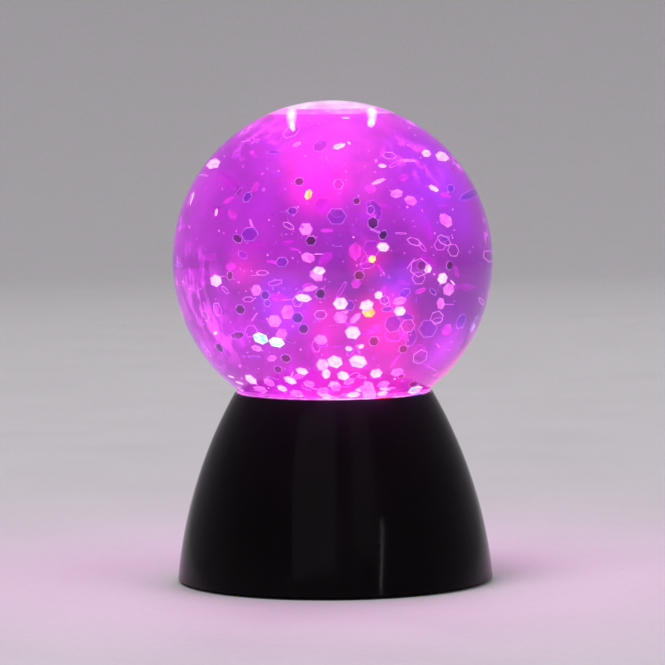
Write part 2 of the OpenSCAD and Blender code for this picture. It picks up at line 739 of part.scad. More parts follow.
module neck_nut() {
    color([0.1, 0.1, 0.11]) difference() {
        translate([0, 0, nut_z]) ring(nut_r, neck_r + run_gap, nut_h);
        for (i = [0 : nut_notches - 1]) {
            rotate([0, 0, i * 360 / nut_notches]) translate([nut_r, 0, nut_z - cut])
                block(nut_wall, nut_notch, cut + nut_h / 2);
        }
    }
}

module spindle_pin() {
    color([0.7, 0.7, 0.72]) translate([0, 0, cap_z + cap_skin])
        cylinder(r = pin_r, h = retainer_z + retainer_h - cap_z - cap_skin);
}

module spindle_retainer() {
    color([0.85, 0.85, 0.85]) translate([0, 0, retainer_z])
        ring(retainer_r, pin_r + press_gap, retainer_h);
}

module impeller() {
    color([0.9, 0.9, 0.92]) difference() {
        union() {
            translate([0, 0, hub_z]) cylinder(r = hub_r, h = hub_h);
            for (i = [0 : blade_count - 1]) {
                rotate([0, 0, i * 360 / blade_count]) translate([0, 0, hub_top])
                    rotate([blade_tilt, 0, 0]) translate([blade_in, -blade_t / 2, -blade_sink])
                    cube([blade_out - blade_in, blade_t, blade_h + blade_sink]);
            }
        }
        translate([0, 0, hub_z - cut]) cylinder(r = pin_r + run_gap, h = hub_h + 2 * cut);
        for (a = [0, 180]) {
            translate(polar(magnet_ring_r, a) + [0, 0, hub_z - cut])
                cylinder(r = magnet_r + press_gap, h = cut + magnet_h);
        }
    }
}

module magnet_pair(z) {
    color([0.6, 0.6, 0.63]) for (a = [0, 180]) {
        translate(polar(magnet_ring_r, a) + [0, 0, z]) cylinder(r = magnet_r, h = magnet_h);
    }
}

module impeller_magnets() {
    magnet_pair(hub_z);
}

module drive_magnets() {
    magnet_pair(carrier_top - magnet_h);
}

module magnet_carrier() {
    color([0.92, 0.92, 0.9]) difference() {
        translate([0, 0, carrier_z]) cylinder(r = hub_r, h = carrier_h);
        translate([0, 0, carrier_z - cut]) cylinder(r = shaft_r + press_gap, h = cut + shaft_grip);
        for (a = [0, 180]) {
            translate(polar(magnet_ring_r, a) + [0, 0, carrier_top - magnet_h])
                cylinder(r = magnet_r + press_gap, h = magnet_h + cut);
        }
    }
}

module motor_shaft() {
    color([0.75, 0.75, 0.77]) translate([0, 0, motor_z + motor_floor])
        cylinder(r = shaft_r, h = carrier_z + shaft_grip - motor_z - motor_floor);
}

module motor_can() {
    color([0.7, 0.71, 0.73]) difference() {
        translate([0, 0, motor_z]) union() {
            cylinder(r = motor_r, h = motor_h);
            cylinder(r = motor_boss_r, h = motor_h + motor_boss_h);
            for (s = [-1, 1]) {
                translate([s * terminal_x, -motor_r - terminal_l / 2, terminal_z - motor_z])
                    block(terminal_w, 2 * terminal_l, terminal_t);
            }
        }
        translate([0, 0, motor_z + motor_floor]) cylinder(r = shaft_r + run_gap, h = motor_h + cut);
        for (s = [-1, 1]) {
            translate([s * motor_screw_x, 0, motor_top - motor_h / 3])
                cylinder(r = small_pilot_r, h = motor_h);
        }
    }
}

// Cone of a countersunk motor screw, with its wide end up at the bracket's top
module motor_screw_head(gap) {
    translate([0, 0, bracket_top - small_head_h])
        cylinder(r1 = small_screw_r + gap, r2 = small_head_r + gap, h = small_head_h);
}

module motor_bracket() {
    color([0.72, 0.73, 0.75]) difference() {
        union() {
            translate([0, 0, motor_top]) block(2 * (leg_x + bracket_t), bracket_w, bracket_t);
            for (s = [-1, 1]) {
                translate([s * (leg_x + bracket_t / 2), 0, bracket_foot_z])
                    block(bracket_t, bracket_w, bracket_top - bracket_foot_z);
                translate([s * (leg_x + (bracket_t + bracket_foot) / 2), 0, bracket_foot_z])
                    block(bracket_t + bracket_foot, bracket_w, bracket_t);
            }
        }
        translate([0, 0, motor_top - cut]) cylinder(r = motor_boss_r + free_gap, h = bracket_t + 2 * cut);
        for (s = [-1, 1]) {
            translate([s * bracket_screw_x, 0, bracket_foot_z - cut])
                cylinder(r = pilot_r, h = bracket_t + 2 * cut);
            translate([s * motor_screw_x, 0, 0]) {
                translate([0, 0, motor_top - cut]) cylinder(r = small_pilot_r, h = bracket_t + cut);
                motor_screw_head(free_gap);
            }
        }
    }
}

module motor_screws() {
    color([0.75, 0.75, 0.77]) for (s = [-1, 1]) {
        translate([s * motor_screw_x, 0, 0]) {
            motor_screw_head(0);
            translate([0, 0, motor_top - motor_h / 4]) cylinder(r = small_screw_r,
                h = bracket_top - small_head_h / 2 - motor_top + motor_h / 4);
        }
    }
}

module bracket_screws() {
    color([0.75, 0.75, 0.77]) for (s = [-1, 1]) {
        translate([s * bracket_screw_x, 0, bracket_foot_z + bracket_t]) rotate([180, 0, 0])
            screw(head_r, head_h, screw_r, bracket_t + bracket_boss_h + roof_t / 2);
    }
}

module reflector_dish() {
    color([0.96, 0.96, 0.97]) difference() {
        union() {
            translate([0, 0, dish_z]) cylinder(r = dish_r, h = dish_t);
            for (a = board_screw_angles) {
                translate(polar(led_ring_r, a) + [0, 0, board_top])
                    cylinder(r = board_spacer_r, h = led_flange_h + dish_t / 2);
            }
        }
        translate([0, 0, dish_z - cut]) cylinder(r = neck_r + slip_gap, h = dish_t + 2 * cut);
        for (i = [0 : 2 * led_count - 1]) {
            translate(polar(led_ring_r, i * led_pitch) + [0, 0, dish_z - cut])
                cylinder(r = led_r + free_gap / 2, h = dish_t + 2 * cut);
        }
        for (a = dish_screw_angles) {
            translate(polar(dish_screw_ring, a) + [0, 0, dish_z - cut])
                cylinder(r = small_pilot_r, h = dish_t + 2 * cut);
        }
        for (a = board_screw_angles) {
            translate(polar(led_ring_r, a) + [0, 0, board_top - cut])
                cylinder(r = small_pilot_r, h = cut + board_screw_l - board_t + free_gap);
        }
    }
}

module dish_screws() {
    color([0.75, 0.75, 0.77]) for (a = dish_screw_angles) {
        translate(polar(dish_screw_ring, a) + [0, 0, dish_z])
            screw(small_head_r, small_head_h, small_screw_r, dish_screw_l);
    }
}

module led_board() {
    color([0.05, 0.3, 0.12]) difference() {
        translate([0, 0, board_z]) ring(board_out, board_in, board_t);
        for (a = dish_screw_angles) {
            translate(polar(dish_screw_ring, a) + [0, 0, board_z - cut])
                cylinder(r = small_head_r + slip_gap, h = board_t + 2 * cut);
        }
        for (a = board_screw_angles) {
            translate(polar(led_ring_r, a) + [0, 0, board_z - cut])
                cylinder(r = small_pilot_r, h = board_t + 2 * cut);
        }
        for (i = [0 : 2 * led_count - 1]) {
            rotate([0, 0, i * led_pitch]) for (s = [-1, 1]) {
                translate([led_ring_r, s * led_pin_x, board_z - cut])
                    cylinder(r = led_pin_r + run_gap, h = board_t + 2 * cut);
            }
        }
    }
}

module board_screws() {
    color([0.75, 0.75, 0.77]) for (a = board_screw_angles) {
        translate(polar(led_ring_r, a) + [0, 0, board_z])
            screw(small_head_r, small_head_h, small_screw_r, board_screw_l);
    }
}

module board_resistors() {
    color([0.05, 0.05, 0.05]) for (i = [0 : led_count - 1]) {
        rotate([0, 0, (i - 0.125) * 2 * led_pitch]) translate([led_ring_r, 0, board_z - resistor_h])
            block(resistor_l, resistor_w, resistor_h);
    }
}

module driver_chip() {
    color([0.05, 0.05, 0.05]) rotate([0, 0, chip_angle]) translate([led_ring_r, 0, board_z - chip_h])
        block(chip_w, chip_l, chip_h);
}

module led(colour, slot) {
    color(colour) rotate([0, 0, slot * led_pitch]) translate([led_ring_r, 0, 0]) {
        translate([0, 0, board_top]) cylinder(r = led_flange_r, h = led_flange_h);
        translate([0, 0, board_top]) cylinder(r = led_r, h = led_dome_z - board_top);
        translate([0, 0, led_dome_z]) sphere(r = led_r);
        for (s = [-1, 1]) {
            translate([0, s * led_pin_x, board_top - led_pin_l])
                cylinder(r = led_pin_r, h = led_pin_l + led_flange_h / 2, $fn = 24);
        }
    }
}

module base_plate() {
    color([0.06, 0.06, 0.065]) difference() {
        union() {
            translate([0, 0, plate_z]) cylinder(r = plate_r, h = plate_t);
            translate([0, 0, plate_z]) block(2 * box_x, 2 * box_y, roof_top - plate_z);
            for (a = base_screw_angles) {
                translate(polar(base_screw_ring, a) + [0, 0, plate_z])
                    cylinder(r = base_cup_r, h = plate_t + base_cup_h);
            }
            for (s = [-1, 1]) {
                translate([s * bracket_screw_x, 0, roof_z]) cylinder(r = bracket_boss_r,
                    h = roof_t + bracket_boss_h);
            }
            translate([-door_x - door_ear - door_block_rim, -door_ear_w / 2 - door_block_rim, plate_z])
                cube([door_ear + 2 * door_block_rim, door_ear_w + 2 * door_block_rim,
                    plate_t + door_block_h]);
        }
        translate([0, 0, plate_z - cut]) block(2 * box_in_x, 2 * box_in_y, roof_z - plate_z + cut);
        translate([-door_x - door_ear - free_gap, -door_ear_w / 2 - free_gap, plate_z - cut])
            cube([door_ear + 2 * free_gap, door_ear_w + 2 * free_gap, plate_t + cut]);
        translate([door_screw_x, 0, plate_z]) cylinder(r = pilot_r, h = plate_t + door_block_h - cut);
        for (s = [-1, 1]) {
            translate([box_in_x - cut, s * door_tab_y - door_tab_w / 2 - slip_gap, plate_top])
                cube([box_wall + 2 * cut, door_tab_w + 2 * slip_gap, door_notch_h]);
            translate([s * bracket_screw_x, 0, roof_z + roof_t / 4])
                cylinder(r = pilot_r, h = roof_t + bracket_boss_h);
            translate([-s * cell_pitch, s * (box_in_y - contact_t / 2), roof_z - cut])
                block(tab_w + 2 * free_gap, contact_t + 2 * free_gap, roof_t + 2 * cut);
        }
        for (a = base_screw_angles) {
            translate(polar(base_screw_ring, a) + [0, 0, plate_z - cut]) {
                cylinder(r = pilot_r, h = plate_t + base_cup_h + 2 * cut);
                cylinder(r = head_r + slip_gap, h = base_cup_floor - plate_z + cut);
            }
        }
        for (i = [0 : 3]) {
            translate(polar(foot_ring, 45 + 90 * i) + [0, 0, plate_z - cut])
                cylinder(r = foot_r + free_gap, h = cut + foot_sink);
        }
    }
}

module base_screws() {
    color([0.6, 0.6, 0.62]) for (a = base_screw_angles) {
        translate(polar(base_screw_ring, a) + [0, 0, base_cup_floor])
            screw(head_r, head_h, screw_r, base_screw_l);
    }
}

module foot(i) {
    color([0.12, 0.12, 0.12]) translate(polar(foot_ring, 45 + 90 * i)) {
        cylinder(r1 = foot_r - foot_lift / 2, r2 = foot_r, h = foot_lift / 2);
        translate([0, 0, foot_lift / 2]) cylinder(r = foot_r, h = foot_lift / 2 + foot_sink);
    }
}

module battery_door() {
    color([0.07, 0.07, 0.075]) difference() {
        union() {
            translate([0, 0, plate_z]) block(2 * door_x, 2 * door_y, door_top - plate_z);
            translate([-door_x - door_ear, -door_ear_w / 2, plate_z])
                cube([door_ear + cut, door_ear_w, door_top - plate_z]);
            for (s = [-1, 1]) {
                translate([door_x - door_tab_step, s * door_tab_y - door_tab_w / 2, plate_z])
                    cube([door_tab_step, door_tab_w, door_tab_z + door_tab_t - plate_z]);
                translate([door_x - door_tab_step, s * door_tab_y - door_tab_w / 2, door_tab_z])
                    cube([door_tab_step + door_tab_reach, door_tab_w, door_tab_t]);
            }
        }
        translate([door_screw_x, 0, plate_z - cut]) {
            cylinder(r = pilot_r, h = plate_t + 2 * cut);
            cylinder(r = head_r + free_gap, h = door_screw_z - plate_z + cut);
        }
    }
}

module door_screw() {
    color([0.6, 0.6, 0.62]) translate([door_screw_x, 0, door_screw_z])
        screw(head_r, door_head_h, screw_r, door_screw_l);
}

// Which end of the box a cell's nub points to: +1 is the back
function cell_turn(i) = i % 2 == 0 ? 1 : -1;

module battery_cell(i) {
    color([0.15, 0.16, 0.2]) translate([(i - 1) * cell_pitch, 0, cell_z])
        rotate([-90 * cell_turn(i), 0, 0])
        translate([0, 0, box_in_y - contact_t - cell_l]) {
        cylinder(r = cell_d / 2, h = cell_l - nub_h);
        cylinder(r = nub_r, h = cell_l);
    }
}

// Contact plate at the end s of the box, from cell a to cell b
module contact(s, a, b) {
    translate([(a + b - 2) / 2 * cell_pitch, s * (box_in_y - contact_t / 2), cell_z - contact_h / 2])
        block((b - a) * cell_pitch + contact_w, contact_t, contact_h);
}

module battery_contacts() {
    color([0.8, 0.8, 0.78]) {
        contact(1, 0, 0);
        contact(1, 1, 2);
        contact(-1, 0, 1);
        contact(-1, 2, 2);
        for (s = [-1, 1]) {
            translate([-s * cell_pitch, s * (box_in_y - contact_t / 2), cell_z])
                block(tab_w, contact_t, roof_top + tab_rise - cell_z);
        }
    }
}

module battery_springs() {
    room = spring_l - 2 * (spring_wire_r + run_gap);
    coil = [for (j = [0 : spring_steps]) let (f = j / spring_steps, a = 360 * spring_turns * f,
        r = spring_big_r + (spring_small_r - spring_big_r) * f)
        [r * cos(a), room * f + spring_wire_r + run_gap, r * sin(a)]];
    color([0.8, 0.8, 0.78]) for (i = [0 : cell_count - 1]) {
        translate([(i - 1) * cell_pitch, 0, cell_z]) rotate([0, 0, cell_turn(i) < 0 ? 180 : 0])
            translate([0, -box_in_y + contact_t, 0]) tube(coil, [0, 1, 0], spring_wire_r, spring_sides);
    }
}

module switch_body() {
    color([0.75, 0.75, 0.77]) translate([0, pad_y, switch_z]) difference() {
        union() {
            translate([0, -switch_flange_t / 2, -switch_half_z])
                block(2 * switch_flange_x, switch_flange_t, 2 * switch_half_z);
            translate([0, -switch_flange_t - switch_depth / 2, -switch_half_z])
                block(2 * switch_half_x, switch_depth, 2 * switch_half_z);
            for (s = [-1, 1]) {
                translate([s * lug_x, switch_back - pad_y - lug_l / 2 + cut / 2, -terminal_t / 2])
                    block(terminal_w, lug_l + cut, terminal_t);
            }
        }
        translate([0, -switch_flange_t - channel_d / 2, -slider_h / 2 - free_gap])
            block(knob_travel + slider_w + 2 * free_gap, channel_d, slider_h + 2 * free_gap);
        translate([0, 0, -stem_h / 2 - free_gap])
            block(knob_travel + stem_w + 2 * free_gap, 2 * switch_flange_t + cut, stem_h + 2 * free_gap);
        for (s = [-1, 1]) {
            translate([s * switch_screw_x, cut, 0]) rotate([90, 0, 0])
                cylinder(r = small_pilot_r, h = switch_flange_t + 2 * cut);
        }
    }
}

module switch_screws() {
    color([0.75, 0.75, 0.77]) for (s = [-1, 1]) {
        translate([s * switch_screw_x, pad_y - switch_flange_t, switch_z]) rotate([-90, 0, 0])
            screw(small_head_r, small_head_h, small_screw_r, switch_screw_l);
    }
}

module power_knob() {
    stem_y = pad_y - switch_flange_t - free_gap;
    pad_start = recess_y + free_gap;
    color([0.05, 0.05, 0.055]) translate([knob_x, 0, switch_z]) {
        translate([0, stem_y - slider_t / 2, -slider_h / 2]) block(slider_w, slider_t, slider_h);
        translate([0, (stem_y + pad_start) / 2, -stem_h / 2])
            block(stem_w, pad_start - stem_y + cut, stem_h);
        translate([0, (pad_start + knob_y) / 2, -knob_h / 2]) block(knob_w, knob_y - pad_start, knob_h);
        for (i = [-1, 0, 1]) {
            translate([i * knob_w / 3, knob_y, -knob_h / 2]) block(rib_w, 2 * rib_d, knob_h);
        }
    }
}

module battery_leads() {
    color([0.7, 0.05, 0.05]) {
        wire(battery_plus_route);
        wire(battery_minus_route);
    }
}

module switch_lead() {
    color([0.7, 0.05, 0.05]) wire(switch_route);
}

module motor_leads() {
    color([0.1, 0.1, 0.1]) {
        wire(motor_plus_route);
        wire(motor_minus_route);
    }
}

globe();
liquid_fill();
glitter_flakes();
globe_cap();
cap_seal();
neck_nut();
seat_gasket();
spindle_pin();
spindle_retainer();
impeller();
impeller_magnets();
base_shell();
base_plate();
base_screws();
battery_door();
door_screw();
battery_contacts();
battery_springs();
motor_can();
motor_bracket();
motor_screws();
bracket_screws();
motor_shaft();
magnet_carrier();
drive_magnets();
reflector_dish();
dish_screws();
led_board();
board_screws();
board_resistors();
driver_chip();
switch_body();
switch_screws();
power_knob();
battery_leads();
switch_lead();
motor_leads();
for (i = [0 : cell_count - 1]) battery_cell(i);
for (i = [0 : 3]) foot(i);
for (i = [0 : led_count - 1]) led([0.3, 0.4, 1], 2 * i);
for (i = [0 : led_count - 1]) led([1, 0.2, 0.2], 2 * i + 1);
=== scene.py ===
# Glitter water ball lamp, switched on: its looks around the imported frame.
# Metres, +Z up. The front is -Y.
import math
import random

import bmesh
import bpy
from mathutils import Matrix, Quaternion, Vector
from mathutils.bvhtree import BVHTree


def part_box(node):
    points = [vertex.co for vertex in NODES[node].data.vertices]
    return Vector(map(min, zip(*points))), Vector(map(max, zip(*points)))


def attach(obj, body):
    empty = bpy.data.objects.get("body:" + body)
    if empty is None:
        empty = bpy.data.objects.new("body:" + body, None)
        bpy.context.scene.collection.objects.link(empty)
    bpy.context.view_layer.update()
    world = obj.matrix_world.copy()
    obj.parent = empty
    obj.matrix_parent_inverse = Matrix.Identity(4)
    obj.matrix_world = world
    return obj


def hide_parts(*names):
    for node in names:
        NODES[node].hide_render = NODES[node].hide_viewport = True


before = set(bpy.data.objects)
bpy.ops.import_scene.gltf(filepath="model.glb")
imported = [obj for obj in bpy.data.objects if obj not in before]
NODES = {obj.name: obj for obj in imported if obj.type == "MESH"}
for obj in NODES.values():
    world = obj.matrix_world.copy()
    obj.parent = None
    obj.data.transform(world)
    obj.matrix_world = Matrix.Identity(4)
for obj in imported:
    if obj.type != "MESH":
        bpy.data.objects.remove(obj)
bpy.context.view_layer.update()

MM = 0.001
SCENE = bpy.context.scene

# Sizes read from the frame
globe_low, globe_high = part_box("globe")
fill_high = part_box("liquid_fill")[1]
cap_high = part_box("globe_cap")[1]
impeller_low, impeller_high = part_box("impeller")
GLOBE_R = (globe_high.x - globe_low.x) / 2
GLOBE_Z = globe_high.z - GLOBE_R
GLOBE_MIDDLE = Vector((0.0, 0.0, GLOBE_Z))
NECK_R = cap_high.x
NECK_Z = globe_low.z
LEVEL_Z = fill_high.z
CELL_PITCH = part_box("battery_cell_2")[0].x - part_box("battery_cell_1")[0].x

# The wall's thickness, and what it leaves inside
WALL = 2 * MM
GLOBE_IN = GLOBE_R - WALL
NECK_IN = NECK_R - WALL


# Steps that materials are made of

EVEN = (1.0, 1.0, 1.0)
# Most of a noise lies between these two values
NOISE_LOW = 0.3
NOISE_HIGH = 0.7
# Share of a patch's reach within which it has its full strength
PATCH_CORE = 0.15


def rgb(red, green, blue):
    """Colour for a socket, linear."""
    return (red, green, blue, 1.0)


def principled(name, **sockets):
    """New material with one Principled shader. A socket's name is given with _ for spaces."""
    material = bpy.data.materials.new(name)
    material.use_nodes = True
    shader = material.node_tree.nodes["Principled BSDF"]
    for key, value in sockets.items():
        shader.inputs[key.replace("_", " ")].default_value = value
    return material, material.node_tree, shader


def place(tree, stretch=EVEN):
    """The piece's own coordinates in metres, stretched."""
    coords = tree.nodes.new("ShaderNodeTexCoord").outputs["Object"]
    mapping = tree.nodes.new("ShaderNodeMapping")
    mapping.inputs["Scale"].default_value = stretch
    tree.links.new(coords, mapping.inputs["Vector"])
    return mapping.outputs["Vector"]


def axes(tree, vector):
    """The three parts of a vector."""
    split = tree.nodes.new("ShaderNodeSeparateXYZ")
    tree.links.new(vector, split.inputs["Vector"])
    return split.outputs


def calc(tree, operation, *terms):
    """One step of arithmetic on sources and plain numbers."""
    node = tree.nodes.new("ShaderNodeMath")
    node.operation = operation
    for socket, term in zip(node.inputs, terms):
        if isinstance(term, bpy.types.NodeSocket):
            tree.links.new(term, socket)
        else:
            socket.default_value = term
    return node.outputs["Value"]


def noise(tree, size, detail=2.0, stretch=EVEN):
    """Noise whose lumps are about size metres wide."""
    texture = tree.nodes.new("ShaderNodeTexNoise")
    texture.inputs["Scale"].default_value = 1 / size
    texture.inputs["Detail"].default_value = detail
    tree.links.new(place(tree, stretch), texture.inputs["Vector"])
    return texture.outputs["Fac"]


def spread(tree, source, low, high, from_low=NOISE_LOW, from_high=NOISE_HIGH):
    """The source, mapped from one range to another and clamped."""
    node = tree.nodes.new("ShaderNodeMapRange")
    limits = {"From Min": from_low, "From Max": from_high, "To Min": low, "To Max": high}
    for socket, value in limits.items():
        node.inputs[socket].default_value = value
    tree.links.new(source, node.inputs["Value"])
    return node.outputs["Result"]


def ramp(tree, source, *stops):
    """Colour ramp through (position, colour) stops."""
    node = tree.nodes.new("ShaderNodeValToRGB")
    elements = node.color_ramp.elements
    while len(elements) < len(stops):
        elements.new(0.5)
    for element, (position, colour) in zip(elements, stops):
        element.position = position
        element.color = colour
    tree.links.new(source, node.inputs["Fac"])
    return node.outputs["Color"]


def tones(tree, source, dark, light):
    """Two colours that follow a noise."""
    return ramp(tree, source, (NOISE_LOW, dark), (NOISE_HIGH, light))


def mix(tree, share, under, over):
    """One colour over another by a share. The colour over is a constant."""
    node = tree.nodes.new("ShaderNodeMix")
    node.data_type = "RGBA"
    tree.links.new(share, node.inputs["Factor"])
    tree.links.new(under, node.inputs["A"])
    node.inputs["B"].default_value = over
    return node.outputs["Result"]


def bump(tree, shader, source, relief):
    """Small relief of this height in metres."""
    node = tree.nodes.new("ShaderNodeBump")
    node.inputs["Distance"].default_value = relief
    tree.links.new(source, node.inputs["Height"])
    tree.links.new(node.outputs["Normal"], shader.inputs["Normal"])


def height(tree):
    """The piece's own height in metres."""
    return axes(tree, place(tree))["Z"]


def around(tree, times, start):
    """Wave round the upright axis: 1 at the start angle and as often as asked for, evenly spaced."""
    parts = axes(tree, place(tree))
    angle = calc(tree, "ARCTAN2", parts["Y"], parts["X"])
    return calc(tree, "COSINE", calc(tree, "MULTIPLY_ADD", angle, times, -times * math.radians(start)))


def facing_along(tree, axis):
    """How squarely a face looks along an axis, from 0 to 1."""
    normal = tree.nodes.new("ShaderNodeNewGeometry").outputs["Normal"]
    return calc(tree, "ABSOLUTE", axes(tree, normal)[axis])


def near(tree, at, reach, stretch=EVEN):
    """1 about a point and 0 from the reach on: round, or drawn out where the stretch is under 1."""
    away = tree.nodes.new("ShaderNodeVectorMath")
    away.operation = "DISTANCE"
    tree.links.new(place(tree, stretch), away.inputs[0])
    away.inputs[1].default_value = Vector(at) * Vector(stretch)
    return spread(tree, away.outputs["Value"], 1.0, 0.0, reach * PATCH_CORE, reach)


# Plastic, rubber and metal

MOULDED_GRAIN = 0.4 * MM
MOULDED_RELIEF = 0.02 * MM
METAL_GRAIN = 0.6 * MM
METAL_DETAIL = 4.0
METAL_RELIEF = 0.004 * MM
# Roughness varies between these shares of its usual value, on plastic in lumps of so many grains
MOULDED_ROUGH = (0.8, 1.2)
METAL_ROUGH = (0.7, 1.3)
ROUGH_LUMP = 20


def moulded(name, dark, light, rough, grain=MOULDED_GRAIN, relief=MOULDED_RELIEF, **sockets):
    """Moulded plastic or rubber: two close colours in a fine grain, uneven gloss and a little relief."""
    material, tree, shader = principled(name, **sockets)
    fine = noise(tree, grain)
    tree.links.new(tones(tree, fine, dark, light), shader.inputs["Base Color"])
    least, most = MOULDED_ROUGH
    uneven = spread(tree, noise(tree, ROUGH_LUMP * grain), rough * least, rough * most)
    tree.links.new(uneven, shader.inputs["Roughness"])
    bump(tree, shader, fine, relief)
    return material


def metal(name, dark, light, rough, stretch=EVEN):
    """Bare or plated metal with a worked grain."""
    material, tree, shader = principled(name, Metallic=1.0)
    worked = noise(tree, METAL_GRAIN, METAL_DETAIL, stretch)
    tree.links.new(tones(tree, worked, dark, light), shader.inputs["Base Color"])
    least, most = METAL_ROUGH
    tree.links.new(spread(tree, worked, rough * least, rough * most), shader.inputs["Roughness"])
    bump(tree, shader, worked, METAL_RELIEF)
    return material


def base_black():
    """Glossy black housing."""
    material, tree, shader = principled("base_black", Specular_IOR_Level=0.08)
    smear_size = 14 * MM
    smear_draw = (1.0, 1.0, 0.35)
    rough = (0.08, 0.15)
    smear = noise(tree, smear_size, 3.0, smear_draw)
    colours = tones(tree, smear, rgb(0.0012, 0.0006, 0.0010), rgb(0.0024, 0.0014, 0.0022))
    tree.links.new(colours, shader.inputs["Base Color"])
    tree.links.new(spread(tree, smear, *rough), shader.inputs["Roughness"])
    return material


# Looks of the globe and the water

PLASTIC_IOR = 1.49
WATER_IOR = 1.33

# Above the water the wall has a painted glow: its strength, and the heights over the water where that
# begins and is full
CAP_GLOW_STRENGTH = 0.28
CAP_GLOW_FROM = 0.45 * MM
CAP_GLOW_FULL = 0.6 * MM
CAP_GLOW_GRAIN = 5 * MM
CAP_GLOW_TONES = ((0.40, rgb(0.85, 0.28, 0.82)), (0.60, rgb(1.0, 0.90, 1.0)))

# A tint in the water that stands in for the lamps' magenta light, and the slow drifts of its painted glow
LAMP_TINT_COLOUR = rgb(0.77, 0.05, 0.88)
LAMP_TINT_DENSITY = 20.0
GROUND_GRAIN = 30 * MM
GROUND_TONES = (
    (0.36, rgb(0.03, 0.004, 0.14)),
    (0.50, rgb(0.05, 0.002, 0.066)),
    (0.62, rgb(0.16, 0.006, 0.17)),
)

# Clouds in the strength of the glow
CLOUD_GRAIN = 7 * MM
CLOUD_DETAIL = 3.0
CLOUD_DRAW = (1.0, 1.0, 0.7)
CLOUD_STRENGTH = (0.72, 1.3)

# Where the lamps light up the water: middle, reach and colour of each patch
GLOWS = (
    ((0.0, 0.0, 0.150), 0.036, rgb(0.55, 0.045, 0.48)),
    ((0.003, -0.034, 0.136), 0.030, rgb(0.52, 0.045, 0.38)),
    ((-0.010, 0.036, 0.130), 0.030, rgb(0.45, 0.020, 0.40)),
    ((0.008, -0.030, 0.058), 0.040, rgb(0.62, 0.020, 0.30)),
    ((-0.006, 0.030, 0.058), 0.040, rgb(0.55, 0.020, 0.32)),
    ((-0.028, -0.034, 0.082), 0.034, rgb(0.19, 0.006, 0.24)),
    ((-0.022, -0.040, 0.106), 0.026, rgb(0.15, 0.006, 0.15)),
    ((0.043, -0.018, 0.100), 0.030, rgb(0.03, 0.001, 0.05)),
    ((0.036, -0.028, 0.074), 0.015, rgb(0.22, 0.010, 0.40)),
    ((0.0345, -0.0225, 0.0745), 0.010, rgb(0.52, 0.030, 0.64)),
    ((0.032, -0.030, 0.126), 0.022, rgb(0.12, 0.015, 0.50)),
    ((0.0085, 0.046, 0.0880), 0.0065, rgb(1.3, 0.030, 0.30)),
    ((-0.0010, 0.047, 0.0880), 0.0055, rgb(1.1, 0.030, 0.42)),
    ((-0.0025, 0.046, 0.1115), 0.0070, rgb(1.3, 0.030, 0.50)),
    ((0.016, -0.039, 0.077), 0.010, rgb(0.42, 0.010, 0.20)),
    ((-0.001, -0.041, 0.077), 0.009, rgb(0.40, 0.010, 0.24)),
    ((-0.005, -0.042, 0.122), 0.011, rgb(0.36, 0.010, 0.24)),
    ((-0.026, -0.040, 0.100), 0.008, rgb(0.48, 0.012, 0.28)),
    ((0.011, -0.046, 0.102), 0.008, rgb(0.60, 0.012, 0.26)),
    ((-0.015, -0.044, 0.089), 0.011, rgb(0.26, 0.025, 0.72)),
    ((0.018, -0.043, 0.095), 0.009, rgb(0.20, 0.020, 0.55)),
)
# Bright streaks that run down from the water's edge, in the same terms. They are drawn out along Y and Z
STREAKS = (
    ((-0.0118, -0.0130, 0.1440), 0.0018, rgb(1.6, 1.5, 1.6)),
    ((0.0122, -0.0110, 0.1446), 0.0018, rgb(1.6, 1.5, 1.6)),
)
STREAK_DRAW = (1.0, 0.16, 0.16)
# Glints near the ball's sides: direction from its middle in degrees, depth along Y, reach and colour
GLINTS = (
    (14.0, -0.0090, 0.0026, rgb(0.85, 0.45, 0.60)),
    (9.0, -0.0110, 0.0034, rgb(0.95, 0.22, 0.95)),
    (-13.0, -0.0050, 0.0034, rgb(0.90, 0.10, 0.50)),
    (-25.0, -0.0125, 0.0042, rgb(0.55, 0.40, 1.00)),
    (38.0, -0.0070, 0.0040, rgb(0.90, 0.35, 1.00)),
    (60.0, -0.0040, 0.0050, rgb(0.85, 0.25, 1.00)),
    (122.0, -0.0080, 0.0050, rgb(0.90, 0.25, 0.95)),
    (155.0, -0.0120, 0.0026, rgb(1.00, 0.80, 0.70)),
    (165.5, -0.0090, 0.0040, rgb(0.95, 0.16, 0.90)),
    (179.0, -0.0130, 0.0034, rgb(0.90, 0.12, 0.85)),
    (187.5, -0.0100, 0.0026, rgb(0.90, 0.10, 0.80)),
    (198.5, -0.0050, 0.0040, rgb(1.00, 0.50, 0.95)),
    (214.0, -0.0140, 0.0036, rgb(0.80, 0.20, 0.95)),
    (226.0, -0.0020, 0.0034, rgb(0.75, 0.25, 1.00)),
)
# A fine noise breaks the glints up. Below the first value there is none, from the second on they are full
GLINT_GRAIN = 1.8 * MM
GLINT_DRAW = (1.0, 1.0, 0.5)
GLINT_BREAK = (0.44, 0.56)
# Places where the light is drawn out into fine wisps: middle and reach
WISPS = (
    ((-0.0415, -0.0235, 0.0940), 0.016),
    ((-0.0347, -0.0265, 0.0800), 0.013),
    ((-0.0218, -0.0205, 0.1375), 0.012),
    ((0.0250, -0.0260, 0.1320), 0.012),
    ((0.0300, 0.0300, 0.0950), 0.018),
    ((-0.0150, 0.0400, 0.0800), 0.016),
)
WISP_COLOUR = rgb(0.92, 0.10, 0.92)
WISP_MOST = 0.85
WISP_GRAIN = 4.0 * MM
WISP_DRAW = (1.0, 1.0, 0.5)
WISP_BREAK = (0.48, 0.60)


